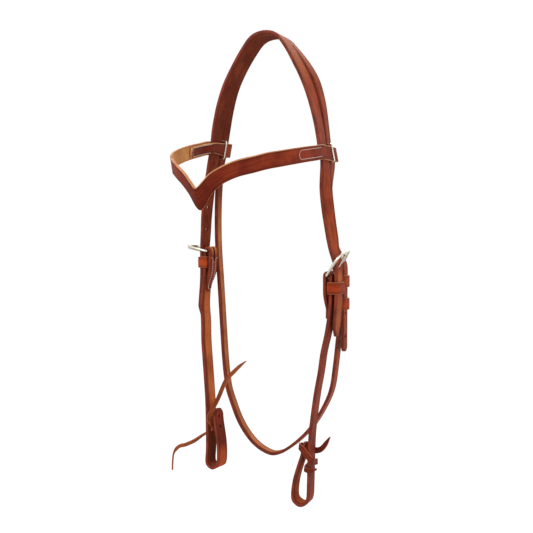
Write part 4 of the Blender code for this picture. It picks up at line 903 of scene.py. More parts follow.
def grain_leather(name, light, dark, burnished, patches=(), top_highlight=None):
    """The smooth side of oiled harness leather: mottled, with pores, dark edges, a crease, a painted
    highlight on the corners and painted patches of light and shade.
    """
    g = Graph(name)
    place = g.place()
    along = g.map("strap")
    rim = g.part(g.map("edge"), "X")
    broad = g.noise(place, 12.0, 2.0)
    cloud = g.noise(place, 65.0, 4.0)
    fine = g.noise(place, 900.0, 3.0)
    streak = g.noise(g.stretch(along, 34.0, 560.0, 1.0), 1.0, 4.0, 0.6)
    pores = g.cells(place, 1800.0)
    tone = g.ramp(broad * 0.38 + cloud * 0.30 + streak * 0.32, 0.37, 0.62)
    shade = painted_patches(g, place, g.mix(tone, dark, light), patches)
    # Rubbed dark along the edges, with an uneven border, and a painted highlight along the very corner
    border = rim + (cloud - 0.5) * 0.0016
    burn = g.ramp(border, 0.0004, 0.0032, 0.60, 0.0)
    shade = g.mix(burn, shade, burnished)
    corner = g.ramp(rim + (streak - 0.5) * 0.0006, 0.0, 0.0008, 0.55, 0.0)
    shade = g.mix(corner, shade, light)
    # A pressed crease follows each edge
    crease = g.ramp(abs(rim - 0.0023), 0.0, 0.0004, 1.0, 0.0)
    shade = g.mix(crease * 0.5, shade, burnished)
    # Worn, lighter patches, and pores
    wear = g.ramp(g.noise(place, 110.0, 5.0, 0.65), 0.55, 0.74, 0.0, 0.25)
    shade = g.mix(wear, shade, light)
    pitted = g.ramp(pores, 0.05, 0.30, 0.08, 0.0)
    shade = g.mix(pitted, shade, burnished)
    if top_highlight:
        # A painted highlight along the upper edge, where light from above catches it
        across = g.part(along, "Y")
        half = g.part(g.map("edge"), "Y")
        below = half - across + (cloud - 0.5) * 0.0006
        shade = g.mix(g.ramp(below, 0.0003, 0.0012, 0.75, 0.0), shade, top_highlight)
    rough = 0.50 + cloud * 0.14 - wear * 0.2 + pitted * 0.3
    height = fine * 0.03 - pitted * 0.15 - crease * 2.4 + streak * 0.3
    return g.surface(Base_Color=shade, Roughness=rough, Normal=g.bump(height, 0.4, 0.00014),
                     Specular_IOR_Level=0.10, Specular_Tint=(1.0, 0.62, 0.40, 1.0))


def flesh_leather(name, light, dark, edge, front=0.0, low_light=None, low_dark=None, patches=()):
    """The fibrous inner side, darker along its edges, which may be another colour lower down."""
    g = Graph(name)
    place = g.place()
    along = g.map("strap")
    rim = g.part(g.map("edge"), "X")
    cloud = g.noise(place, 48.0, 4.0)
    fibre = g.noise(g.stretch(along, 110.0, 900.0, 1.0), 1.0, 4.0, 0.7)
    nap = g.noise(place, 900.0, 4.0, 0.7)
    tone = g.ramp(cloud * 0.5 + fibre * 0.3 + nap * 0.2, 0.36, 0.64)
    shade = g.mix(tone, dark, light)
    if low_light:
        # Over the poll the flesh side is darker, partly its own colour and partly painted shade; lower down
        # at the back it is tan
        height = g.part(place, "Z") + (cloud - 0.5) * 0.03
        setback = g.ramp(g.part(place, "Y"), 0.002, 0.005, 0.0, 1.0)
        lower = g.ramp(height, -0.215, -0.150, 1.0, 0.0) * setback
        shade = g.mix(lower, shade, g.mix(tone, low_dark, low_light))
    border = g.ramp(rim + (cloud - 0.5) * 0.0016, 0.0004, 0.0030, 0.72, 0.0)
    shade = g.mix(border, painted_patches(g, place, shade, patches), edge)
    if front:
        # The front edge is painted darker, in the colour of the border
        across = g.part(along, "Y")
        half = g.part(g.map("edge"), "Y")
        ahead = half + across + (cloud - 0.5) * 0.0014
        shade = g.mix(g.ramp(ahead, front * 0.75, front * 1.15, 0.85, 0.0), shade, edge)
    rough = 0.74 + nap * 0.2
    bump = g.bump(fibre * 0.5 + nap * 0.6, 0.5, 0.00018)
    return g.surface(Base_Color=shade, Roughness=rough, Normal=bump, Specular_IOR_Level=0.12,
                     Specular_Tint=(1.0, 0.84, 0.66, 1.0))


def cut_edge(name, light, dark):
    """A strap's burnished edge, with the layers of the hide showing."""
    g = Graph(name)
    place = g.place()
    blotch = g.noise(place, 80.0, 4.0)
    layers = g.noise(place, 1100.0, 3.0)
    tone = g.ramp(blotch * 0.7 + layers * 0.3, 0.38, 0.62)
    shade = g.mix(tone, dark, light)
    return g.surface(Base_Color=shade, Roughness=0.42 + layers * 0.2, Specular_IOR_Level=0.26,
                     Specular_Tint=(1.0, 0.80, 0.62, 1.0), Normal=g.bump(layers, 0.3, 0.00012))


def waxed_thread(name, shade):
    g = Graph(name)
    twist = g.noise(g.place(), 1900.0, 2.0)
    soil = g.noise(g.place(), 130.0, 2.0)
    tint = g.mix(g.ramp(soil, 0.42, 0.75, 0.0, 0.45), shade, painted(196, 150, 112))
    tint = g.mix(g.ramp(twist, 0.45, 0.7, 0.0, 0.3), tint, painted(150, 110, 84))
    return g.surface(Base_Color=tint, Roughness=0.62 + twist * 0.2, Normal=g.bump(twist, 0.5, 0.0002))


def polished_steel(name, shade):
    g = Graph(name)
    place = g.place()
    smear = g.noise(place, 210.0, 4.0)
    scratch = g.noise(g.stretch(place, 2400.0, 300.0, 900.0), 1.0, 2.0)
    tint = g.mix(g.ramp(smear, 0.45, 0.75, 0.0, 0.35), shade, painted(176, 170, 162))
    # Painted shade on the undersides: darker and browner where the wire faces down
    level = g.part(g.add("ShaderNodeNewGeometry", {}, {}, "Normal"), "Z")
    tint = g.mix(g.ramp(level + (smear - 0.5) * 0.6, -0.75, 0.15, 0.85, 0.0), tint, painted(112, 92, 62))
    rough = 0.16 + smear * 0.10 + scratch * 0.05
    return g.surface(Base_Color=tint, Metallic=1.0, Roughness=rough,
                     Normal=g.bump(scratch * 0.5 + smear * 0.5, 0.12, 0.00008))


# Meshes

def extruded(bm, verts, edges, spots):
    """Extrude a row of edges, and put the new points in their places."""
    made = bmesh.ops.extrude_edge_only(bm, edges=edges)["geom"]
    new = {item for item in made if isinstance(item, bmesh.types.BMVert)}
    following = [next(edge.other_vert(old) for edge in old.link_edges if edge.other_vert(old) in new)
                 for old in verts]
    for vert, spot in zip(following, spots):
        vert.co = spot
    return following


class Strip:
    """Leather that grows row by row. Each point keeps how far it is along the strap, how far it is
    from the middle, its distance from the nearest edge, and the strap's half width."""

    def __init__(self):
        self.bm = bmesh.new()
        self.marks = {}

    def start(self, row):
        verts = []
        for spot, mark in row:
            verts.append(self.bm.verts.new(spot))
            self.marks[verts[-1]] = mark
        for pair in zip(verts, verts[1:]):
            self.bm.edges.new(pair)
        return verts

    def grow(self, verts, row):
        """Extrude a row of points to the next row."""
        edges = [self.bm.edges.get(pair) for pair in zip(verts, verts[1:])]
        spots, marks = zip(*row)
        following = extruded(self.bm, verts, edges, spots)
        self.marks.update(zip(following, marks))
        return following

    def run(self, rows):
        """Start with a row of points and grow through the rest. Gives the first and the last row."""
        first = last = self.start(rows[0])
        for row in rows[1:]:
            last = self.grow(last, row)
        return first, last

    def close(self, first, last):
        """Join the last row to the first."""
        edges = [self.bm.edges.get(pair) for row in (first, last) for pair in zip(row, row[1:])]
        bmesh.ops.bridge_loops(self.bm, edges=edges)

    def mesh(self, name, probe):
        """The mesh, with its grain side on the side of a probe: a point of it and a direction."""
        bmesh.ops.recalc_face_normals(self.bm, faces=self.bm.faces)
        spot, outwards = probe
        nearest = min(self.bm.faces, key=lambda face: (face.calc_center_median() - spot).length)
        if nearest.normal.dot(outwards) < 0.0:
            bmesh.ops.reverse_faces(self.bm, faces=self.bm.faces)
        strap_map = self.bm.loops.layers.uv.new("strap")
        edge_map = self.bm.loops.layers.uv.new("edge")
        for face in self.bm.faces:
            for loop in face.loops:
                along, across, rim, half = self.marks[loop.vert]
                loop[strap_map].uv = (along, across)
                loop[edge_map].uv = (rim, half)
        data = bpy.data.meshes.new(name)
        self.bm.to_mesh(data)
        self.bm.free()
        return data


def cross_row(route, distance, half, column):
    """Five points across a strap."""
    point, _, width, _ = route.at(distance)
    inset = min(column, half / 2)
    row = []
    for across in (-half, inset - half, 0.0, half - inset, half):
        row.append((point + width * across, (distance, across, half - abs(across), half)))
    return row


def linked(name, data):
    item = bpy.data.objects.new(name, data)
    bpy.context.collection.objects.link(item)
    return item


def smoothed(data):
    data.shade_smooth()
    data.set_sharp_from_angle(angle=SHARP)


def settled(item, cutters=()):
    """Make what the modifiers give the piece's own mesh, and take the cutters away."""
    graph = bpy.context.evaluated_depsgraph_get()
    data = bpy.data.meshes.new_from_object(item.evaluated_get(graph), depsgraph=graph)
    item.modifiers.clear()
    item.data = data
    for cutter in cutters:
        bpy.data.objects.remove(cutter)
    smoothed(data)
    return item


def leather_piece(name, strip, probe, materials, thickness, sizes, cutters=(), rounding=None):
    """A strip with its thickness, rounded edges and holes. The materials are those of the grain
    side, the flesh side and the cut edge."""
    item = linked(name, strip.mesh(name, probe))
    for finish in materials:
        item.data.materials.append(finish)
    wall = item.modifiers.new("Thickness", "SOLIDIFY")
    wall.thickness = thickness
    wall.offset = 0.0
    wall.use_even_offset = True
    wall.material_offset = 1
    wall.material_offset_rim = 2
    edge = item.modifiers.new("Rounded edges", "BEVEL")
    edge.width = sizes.edge_round if rounding is None else rounding
    edge.segments = sizes.edge_segments
    edge.limit_method = "ANGLE"
    edge.angle_limit = SHARP * 1.4
    for cutter in cutters:
        step = item.modifiers.new("Cut", "BOOLEAN")
        step.operation = "DIFFERENCE"
        step.solver = "EXACT"
        step.material_mode = "TRANSFER"
        step.object = cutter
    return settled(item, cutters)


def skin(bm, rings, guide, sides, closed=False):
    """A skin through rings, each a centre, the way it faces and a radius, closed into a loop or
    with flat ends. The guide is where each ring's points begin."""

    def places(centre, axis, radius):
        side = (guide - axis * guide.dot(axis)).normalized()
        up = axis.cross(side)
        turns = [math.tau * k / sides for k in range(sides)]
        return [centre + (side * math.cos(turn) + up * math.sin(turn)) * radius for turn in turns]

    def loop():
        return [bm.edges.get((verts[k - 1], verts[k])) for k in range(sides)]

    verts = list(bmesh.ops.create_circle(bm, cap_ends=not closed, segments=sides, radius=1.0)["verts"])
    for vert, spot in zip(verts, places(*rings[0])):
        vert.co = spot
    start = edges = loop()
    for ring in rings[1:]:
        verts = extruded(bm, verts, edges, places(*ring))
        edges = loop()
    if closed:
        bmesh.ops.bridge_loops(bm, edges=start + edges)
    else:
        bmesh.ops.edgeloop_fill(bm, edges=edges)


# The domed end of a rod in shares of its radius: how far out, and how wide
DOME_SHARES = ((0.30, 0.95), (0.62, 0.78), (0.84, 0.54), (0.96, 0.26))


def rod(bm, centres, radii, sides, guide, closed=False):
    """A round bar through some centres: closed into a ring, or with domed ends."""
    count = len(centres)
    rings = []
    for k, centre in enumerate(centres):
        before = centres[k - 1] if closed or k else centre
        after = centres[(k + 1) % count] if closed or k < count - 1 else centre
        rings.append((centre, (after - before).normalized(), radii[k]))
    if not closed:
        first, last = ([(spot + axis * (radius * out * way), axis, radius * wide)
                        for out, wide in DOME_SHARES]
                       for (spot, axis, radius), way in ((rings[0], -1.0), (rings[-1], 1.0)))
        rings = first[::-1] + rings + last
    skin(bm, rings, guide, sides, closed)


def rounded_mesh(name, bm, finish):
    """A smooth closed mesh with one material."""
    bmesh.ops.recalc_face_normals(bm, faces=bm.faces)
    data = bpy.data.meshes.new(name)
    bm.to_mesh(data)
    bm.free()
    item = linked(name, data)
    data.materials.append(finish)
    smoothed(data)
    return item


def punch(name, holes, finish, sides=20):
    """A cutter of round rods that flare where they leave the leather. Each hole is a matrix with z
    along it, a radius, the leather's thickness, the rod's reach and how far it flares."""
    bm = bmesh.new()
    for matrix, radius, thickness, reach, flare in holes:
        half = thickness / 2
        levels = ((half * 0.4, radius), (half * 0.72, radius + flare * 0.3), (half, radius + flare),
                  (reach, radius + flare * 4))
        levels = [(-level, size) for level, size in levels[::-1]] + list(levels)
        axes = matrix.to_3x3()
        rings = [(matrix @ Vector((0.0, 0.0, level)), axes @ UP, size) for level, size in levels]
        skin(bm, rings, axes @ ACROSS, sides)
    return rounded_mesh(name, bm, finish)


def blocks(name, places, finish):
    """A cutter of boxes: each place is a matrix and three lengths."""
    bm = bmesh.new()
    for matrix, lengths in places:
        bmesh.ops.create_cube(bm, size=1.0, matrix=matrix @ Matrix.Diagonal((*lengths, 1.0)))
    return rounded_mesh(name, bm, finish)


def ride(item, body, slot, *nodes):
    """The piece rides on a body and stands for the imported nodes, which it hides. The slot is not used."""
    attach(item, body)
    if nodes:
        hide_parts(*nodes)
    return item


# Widths of the straps

WIDE_POLL = WIDE.near(Vector((0.0, WIDE_MIDDLE, POLL)))
NARROW_POLL = NARROW.near(Vector((0.0, NARROW_MIDDLE, POLL)))
BROW_START_FOLD = BROW.knots[BROW_END_KNOTS]
BROW_FRONT = BROW.knots[BROW_END_KNOTS + BROW_HALF_KNOTS - 1]
BROW_END_FOLD = BROW.knots[BROW_END_KNOTS + 2 * BROW_HALF_KNOTS - 2]


def branch_half(distance, poll, full, buckled):
    """Half the width of a branch of the crown, which narrows where it is buckled."""
    taper = min(max((abs(distance - poll) - BROW_DROP * 1.3) / (BROW_DROP * 0.5), 0.0), 1.0)
    return (full + (buckled - full) * taper) / 2


def wide_half(distance):
    tip = 0.0 if distance < WIDE_POLL else WIDE.length
    share = pointed(distance, tip, BILLET_WIDTH)
    return branch_half(distance, WIDE_POLL, WIDE_BRANCH, BILLET_WIDTH) * share


def narrow_half(distance):
    half = branch_half(distance, NARROW_POLL, NARROW_BRANCH, THROAT_WIDTH)
    half *= rounded(distance, NARROW.length, THROAT_WIDTH)
    if distance < THROAT_FOLD_BACK:
        half *= pointed(distance, 0.0, THROAT_WIDTH)
    return half


def cheek_half(route, distance):
    half = CHEEK_WIDTH / 2 * rounded(distance, route.length, CHEEK_WIDTH)
    return half * min(1.0, 0.30 + 0.70 * distance / (FOLD_BACK * 0.6))


def brow_half(distance):
    side, tip = (OFF, 0.0) if distance < BROW_FRONT else (NEAR, BROW.length)
    if BROW_START_FOLD < distance < BROW_END_FOLD:
        share = max(1.0 - abs(distance - BROW_FRONT) / (BROW_FRONT - BROW_START_FOLD), 0.0)
        height = BROW_WIDTH * table([row[::2] for row in V_SHARES], share)
    else:
        past = abs(tip - distance) - side.lining + BROW_TAB + CROWN_WIDTH / 2
        height = LINING_WIDTH + (BROW_WIDTH - LINING_WIDTH) * min(max(past / CROWN_WIDTH, 0.0), 1.0)
    return height / 2 * rounded(distance, tip, LINING_WIDTH / 2)


def pointed(distance, tip, width):
    """Share of the width that is left near a pointed tip."""
    return min(1.0, 0.32 + 0.68 * abs(tip - distance) / (width * 0.62))


def rounded(distance, tip, width):
    """Share of the width that is left near a round tip."""
    left = min(abs(tip - distance) / (width / 2), 1.0)
    return max(0.35, math.sqrt(1.0 - (1.0 - left) ** 2))


TIP_REACH = CHEEK_WIDTH * 0.62     # the stretch before a tip that has closer rows
TIP_SHARES = (1.0, 0.8, 0.62, 0.47, 0.34, 0.22, 0.12)


def rows_to(route, start, end, sizes):
    """Distances of the rows from start to end, with closer ones where the end narrows."""
    distances = route.stations(min(start, end), max(start, end), sizes.row_turn, sizes.row_reach)
    sign = 1 if end > start else -1
    kept = [distance for distance in distances[::sign] if abs(end - distance) > TIP_REACH * 1.1]
    return kept + [end - sign * TIP_REACH * share for share in TIP_SHARES] + [end]


def whole_strap(route, middle, half, sizes):
    """A strip along a whole route, with its rows spaced from a middle to both tips."""
    distances = rows_to(route, middle, 0.0, sizes)[::-1] + rows_to(route, middle, route.length, sizes)[1:]
    return strip_along(route, distances, half, sizes.edge_column)


def strip_along(route, distances, half, column):
    """A strip through rows across a route."""
    strip = Strip()
    strip.run([cross_row(route, distance, half(distance), column) for distance in distances])
    return strip


def probe(route, distance):
    """A point of a route, and the side on which its grain lies."""
    point, _, _, normal = route.at(distance)
    return point, normal


# Holes

def tongue_line(wire, radius, length):
    """A tongue in its frame's plane: round the heel bar, then along the outer face."""
    ring = wire + CLEAR + radius
    points = [(0.0, y, z) for y, z in arc(0.0, 0.0, ring, 365.0, 90.0, 22)]
    tip = length + TONGUE_OVERHANG
    for share in (0.2, 0.35, 0.5, 0.7, 0.85, 0.94, 1.0):
        points.append((0.0, tip * share, ring))
    return points


def tongue_hole(matrix, wire, radius, route, heel):
    """The matrix of the hole that a tongue has worn in the billet that passes its heel bar."""
    ring = wire + CLEAR + radius
    axes = matrix.to_3x3()
    start = matrix @ Vector((0.0, 0.0, ring))
    along = axes @ BACK
    passing, _, _, normal = route.at(heel)
    for _ in range(6):
        reach = (passing - start).dot(normal) / along.dot(normal)
        middle = start + along * reach
        passing, _, _, normal = route.at(route.near(middle, heel - REACH, heel + REACH))
    return axes_matrix(middle, axes @ ACROSS, along.cross(axes @ ACROSS), along)


def through(route, distance):
    """A matrix at a distance along a strap, with z through the leather."""
    return route.matrix(distance) @ Matrix.Rotation(math.pi / 2, 4, "Y")


def crown_holes(sizes):
    """The punched holes of the billets and those that the tongues have worn."""
    flare = sizes.hole_flare
    worn = TONGUE_ROD / 2
    holes = []
    for side in (NEAR, OFF):
        heel = WIDE.near(side.heel + side.outwards * side.billet_pass)
        matrix = tongue_hole(side.buckle_matrix(), WIRE, TONGUE, WIDE, heel)
        holes.append((matrix, (TONGUE + TONGUE_PLAY) * WORN_SHARE, worn, worn, 0.0))
        for k in side.holes:
            matrix = through(WIDE, heel + HOLE_PITCH * k * -side.sign)
            holes.append((matrix, HOLE_RADIUS, LEATHER, LEATHER, flare))
    heel = NARROW.near(THROAT_HEEL + ACROSS * THROAT_PASS, NARROW.length / 2)
    matrix = tongue_hole(THROAT_BUCKLE, THROAT_WIRE, THROAT_TONGUE, NARROW, heel)
    holes.append((matrix, THROAT_TONGUE + TONGUE_PLAY, worn, worn, 0.0))
    below = math.floor((THROAT_TAIL - THROAT_WIDTH) / HOLE_PITCH)
    for k in (*range(-below, -1), 1, 2):
        holes.append((through(NARROW, heel - HOLE_PITCH * k), HOLE_RADIUS * 0.8, LEATHER, LEATHER, flare))
    return holes


def slot_block(heel, radius, tongue):
    """The block that cuts the tongue's slot in a fold."""
    slot = SLOT_WIDTH * tongue / TONGUE
    return Matrix.Translation(heel), (radius * 2 + LEATHER + CLEAR, slot, SLOT_LENGTH * 2)


def loop_spot(side, across, down):
    """A place near a bit loop's leg at a distance below the heel bar."""
    heel = mirrored(side.heel, side.sign)
    return mirrored((across, heel.y - forward(down), heel.z - down), side.sign)


# Pieces

def rim_finish(colors):
    return shared("cut_edge", cut_edge, colors.edge, colors.edge_dark)


def pale_finish(colors):
    return shared("pale_edge", cut_edge, colors.pale_edge, colors.pale_edge_dark)


def cheek_flesh_finish(colors):
    # Painted shade inside the off bit loop
    inside = loop_spot(OFF, OFF.spread - OFF.loop / 2, CHEEK_DROP - LOOP_FOLD * 0.3)
    return shared("cheek_flesh", flesh_leather, colors.oiled, colors.oiled_dark, colors.flesh_edge,
                  CHEEK_WIDTH * 0.28, None, None, [(Vector(inside), 0.042, colors.shade_and_dark_spots, 0.75)])


def build_crown(sizes, colors):
    """The crown with its billets and the throatlatch, all one piece of leather."""
    strip = Strip()
    steps = 16
    column = sizes.edge_column
    rows = []
    for k in range(steps + 1):
        away = SLIT_START * (2 * k / steps - 1)
        joined = min((SLIT_START - abs(away)) / SLIT_START * 4, 1.0) * NARROW_BRANCH
        wide = cross_row(WIDE, WIDE_POLL + away, wide_half(WIDE_POLL + away), column)
        narrow = cross_row(NARROW, NARROW_POLL + away, narrow_half(NARROW_POLL + away), column)
        # No edge runs between the branches where they are joined
        wide = wide[:3] + [(spot, (*mark[:2], mark[2] + joined, mark[3])) for spot, mark in wide[3:]]
        narrow = [(spot, (*mark[:2], mark[2] + joined, mark[3])) for spot, mark in narrow[:2]] + narrow[2:]
        rows.append(wide + narrow)
    first, row = strip.run(rows)
    for route, poll, half, part in ((WIDE, WIDE_POLL, wide_half, slice(0, 5)),
                                    (NARROW, NARROW_POLL, narrow_half, slice(5, 10))):
        for sign, current in ((1, row[part]), (-1, first[part])):
            end = route.length if sign > 0 else 0.0
            for distance in rows_to(route, poll + SLIT_START * sign, end, sizes)[1:]:
                current = strip.grow(current, cross_row(route, distance, half(distance), column))
    rim = rim_finish(colors)
    materials = (
        # The crown's grain gets painted highlights: on the near billet's bend below its buckle, over the near
        # arch, low on the near billet and on the off side
        shared("crown_grain", grain_leather, colors.crown_light, colors.crown_dark, colors.burnished,
               [(NEAR.heel + ACROSS * 0.005 - UP * 0.004, 0.013, colors.bend, 0.8),
                (WIDE.at(WIDE_POLL + 0.040)[0], 0.046, colors.bend, 0.25),
                (WIDE.at(WIDE.length - 0.026)[0], 0.036, colors.bend, 0.20),
                (WIDE.at(0.110)[0], 0.080, colors.bend, 0.16)]),
        shared("crown_flesh", flesh_leather, colors.inner_light, colors.inner_dark, colors.flesh_edge,
               0.0028, colors.tan_light, colors.tan_dark),
        rim,
    )
    slot = blocks("throat_slot", [slot_block(THROAT_HEEL, THROAT_FOLD_RADIUS, THROAT_TONGUE)], rim)
    cutters = (punch("billet_holes", crown_holes(sizes), rim), slot)
    item = leather_piece("crown", strip, probe(WIDE, WIDE_POLL), materials, LEATHER, sizes, cutters)
    ride(item, "crown", "crown_leather", "crown_strap")


def build_browband(sizes, colors):
    """The browband, from the tip of one folded end to the tip of the other."""
    strip = whole_strap(BROW, BROW_FRONT, brow_half, sizes)
    materials = (
        # Painted shade over the off folded end, the front of the V darker too, and a painted highlight along
        # the upper edge
        shared("browband_grain", grain_leather, colors.brow_light, colors.brow_dark, colors.burnished,
               [(BROW.at(0.030)[0], 0.050, colors.shade_and_dark_spots, 0.62),
                (BROW.at(BROW_FRONT)[0], 0.034, colors.shade_and_dark_spots, 0.45)],
               colors.pale_edge),
        shared("browband_flesh", flesh_leather, colors.raw, colors.raw_dark, colors.raw_dark),
        pale_finish(colors),
    )
    spot = BROW.at(BROW_START_FOLD * 1.6)[0]
    item = leather_piece("browband_strap", strip, (spot, spot - ACROSS * spot.x * 0.5), materials,
                         BROW_LEATHER, sizes, rounding=sizes.edge_round * 0.8)
    ride(item, "browband", "browband_leather", "browband")


def build_cheek(side, sizes, colors):
    """A cheek strap: folded round its buckle above and round the bit loop below."""
    route = CHEEKS[side]
    near, off = CHEEKS[NEAR], CHEEKS[OFF]
    strip = whole_strap(route, route.length / 2, lambda distance: cheek_half(route, distance), sizes)
    rim = rim_finish(colors)
    materials = (
        # Folds over the heel bars are lighter, partly stretched leather and partly painted highlight; painted
        # shade lies on the off loop's folded leg, with painted highlights low on the off loop and at the
        # bottom of the near loop
        shared("cheek_grain", grain_leather, colors.cheek_light, colors.cheek_dark, colors.burnished,
               [(OFF.heel + UP * 0.003, 0.012, colors.bend, 0.85),
                (NEAR.heel - UP * 0.001, 0.009, colors.bend, 0.5),
                (off.at(off.length - 0.036)[0], 0.028, colors.shade_and_dark_spots, 0.55),
                (off.at(off.length - 0.057)[0], 0.021, colors.keeper_light, 0.8),
                (near.at(near.length - 0.066)[0], 0.013, colors.bend, 0.45)]),
        cheek_flesh_finish(colors),
        rim,
    )
    places = [slot_block(side.heel, FOLD_RADIUS, TONGUE)]
    if side is OFF:
        distance = route.near(loop_spot(side, side.spread, TIE_DROP + LOOP_FOLD * 0.178))
        places.append((route.matrix(distance), (LEATHER * 1.6, side.lace_width * 0.8, LACE * 0.9)))
    holes = []
    for k in range(2):
        level = LACE_HOLE_DROP + LACE_HOLE_PITCH * k
        distance = route.near(loop_spot(side, side.spread - side.neck, level))
        holes.append((through(route, distance), LACE_HOLE_RADIUS, LEATHER, LEATHER, sizes.hole_flare))
    cutters = (punch(side.name + "_holes", holes, rim), blocks(side.name + "_slots", places, rim))
    middle = route.near(loop_spot(side, HEEL_SPREAD, CHEEK_DROP / 2))
    item = leather_piece(side.name + "_cheek", strip, probe(route, middle), materials, LEATHER, sizes,
                         cutters)
    ride(item, "crown", "cheek_leather", side.name + "_cheek_strap")


def build_buckle(name, matrix, strap_width, play, wire, tongue, length, finish, sizes):
    """A wire frame with a straight heel bar and a round free end, and its tongue."""
    half = strap_width / 2 + play + wire
    axis = matrix.to_3x3() @ UP
    corner = wire * 1.2
    outline = arc(corner - half, corner, corner, 180.0, 270.0, 5)
    outline += arc(half - corner, corner, corner, 270.0, 360.0, 5)
    outline += arc(0.0, length - half, half, 0.0, 180.0, 28)
    bm = bmesh.new()
    points = [matrix @ Vector((x, y, 0.0)) for x, y in outline]
    rod(bm, points, [wire] * len(points), sizes.wire_sides, axis, True)
    body = name.replace("cheek_", "")
    ride(rounded_mesh(name + "frame_wire", bm, finish), body + "frame", "buckle_steel",
         name + "buckle_frame")
    bm = bmesh.new()
    line = [matrix @ Vector(point) for point in tongue_line(wire, tongue, length)]
    radii = [tongue] * (len(line) - 3) + [tongue * 0.96, tongue * 0.88, tongue * 0.78]
    rod(bm, line, radii, sizes.wire_sides, matrix.to_3x3() @ ACROSS)
    ride(rounded_mesh(name + "tongue_wire", bm, finish), body + "tongue", "buckle_steel",
         name + "buckle_tongue")


def build_browband_loop(side, finish, sizes):
    """A rectangular wire loop round both plies of the browband, through the slit in the crown."""
    rise = BROW_RISE * side.sign
    across = ARCH_SPREAD + side.brow_shift
    centre = mirrored((across, SLIT_MIDDLE, POLL - BROW_DROP - rise), side.sign)
    up = (UP - ACROSS * (BROW_SLOPE_SHARE * side.sign)).normalized()
    matrix = axes_matrix(centre, up.cross(BACK) * -1.0, up, BACK * -1.0)
    half_x = BROW_OVER + BROW_LEATHER / 2 + CLEAR * 2 + BROW_LOOP_WIRE
    outline = rounded_rectangle(half_x, BROW_LOOP_HEIGHT / 2, BROW_LOOP_WIRE * 2)
    points = [matrix @ Vector((x, y, 0.0)) for x, y in outline]
    bm = bmesh.new()
    rod(bm, points, [BROW_LOOP_WIRE] * len(points), sizes.wire_sides, matrix.to_3x3() @ UP, True)
    ride(rounded_mesh(side.name + "_loop_wire", bm, finish), "browband", "buckle_steel",
         side.name + "_browband_loop")


def build_keeper(name, main, outer, width, play, height, materials, body, sizes, sign=1.0):
    """A leather band round the plies from the main one out to the billet."""
    inner = -LEATHER / 2
    half_x = (outer - inner) / 2 + play + KEEPER / 2
    half_y = width / 2 + play + KEEPER / 2
    centre = main + ACROSS * ((outer + inner) / 2 * sign)
    outline = rounded_rectangle(half_x, half_y, KEEPER_CORNER + KEEPER / 2)
    strip = Strip()
    rows = []
    travelled = 0.0
    for k, (x, y) in enumerate(outline):
        before = outline[k - 1]
        travelled += math.hypot(x - before[0], y - before[1]) if k else 0.0
        row = []
        for share in (-1.0, -0.84, -0.45, 0.0, 0.45, 0.84, 1.0):
            swell = sizes.keeper_crown * (1.0 - share * share)
            out = Vector((x, y, 0.0)) * (1.0 + swell / math.hypot(x, y))
            level = height / 2 * share
            spot = centre + Vector((out.x, out.y, level))
            row.append((spot, (travelled, level, height / 2 - abs(level), height / 2)))
        rows.append(row)
    strip.close(*strip.run(rows))
    item = leather_piece(name + "_band", strip, (centre + ACROSS * half_x, ACROSS), materials,
                         KEEPER - CLEAR, sizes, rounding=sizes.edge_round * 0.8)
    ride(item, body, "keeper_leather", name)


def build_lace(side, light, dark, sizes, colors):
    """A leather lace that ties a bit loop."""
    strap = CHEEKS[side]
    point, along, width, normal = strap.at(strap.near(loop_spot(side, side.spread, TIE_DROP)))
    matrix = axes_matrix(point, normal, width, along)
    axes = matrix.to_3x3()
    points = [matrix @ Vector((out * CHEEK_WIDTH, back * CHEEK_WIDTH / 2, down * LOOP_FOLD))
              for out, back, down in side.lace]
    hints = []
    for k, face in enumerate(side.faces):
        before = points[max(k - 1, 0)]
        after = points[min(k + 1, len(points) - 1)]
        hints.append((after - before).cross(axes @ Vector(face)).normalized())
    for k in range(1, len(hints)):
        if hints[k].dot(hints[k - 1]) < 0.0:
            hints[k].negate()
    route = Route(list(zip(points, hints)))

    def half(distance):
        return side.lace_width / 2 * table(LACE_TAPER_SHARES, distance / route.length)

    distances = route.stations(0.0, route.length, sizes.row_turn * 1.5, sizes.row_reach * 0.5)
    strip = strip_along(route, distances, half, side.lace_width * 0.16)
    lace = grain_leather(side.name + "_lace_grain", light, dark, colors.burnished,
                         [(route.at(0.0)[0], side.lace_width * 1.6, colors.shade_and_dark_spots, 0.9)])
    lace_edge = shared("lace_edge", cut_edge, colors.lace_light, colors.lace_dark)
    spot = route.at(route.length / 2)[0]
    item = leather_piece(side.name + "_lace", strip, (spot, axes @ Vector(side.faces[len(side.faces) // 2])),
                         (lace, lace, lace_edge), LACE, sizes, rounding=LACE * 0.26)
    ride(item, "crown", "lace_leather", side.name + "_tie_lace")


def seam(route, places, thickness):
    """Points of a seam on a strap's grain side, from places along and across it."""
    points = []
    for (start, first), (end, last) in zip(places, places[1:]):
        steps = max(1, round(math.hypot(end - start, last - first) / SEAM_STEP))
        for k in range(steps):
            share = k / steps
            points.append(on_strap(route, start + (end - start) * share,
                                   first + (last - first) * share, thickness))
    return points + [on_strap(route, *places[-1], thickness)]


def on_strap(route, distance, across, thickness):
    """A point on a strap's grain side, and the direction that the side faces."""
    point, _, width, normal = route.at(distance)
    return point + width * across + normal * (thickness / 2), normal


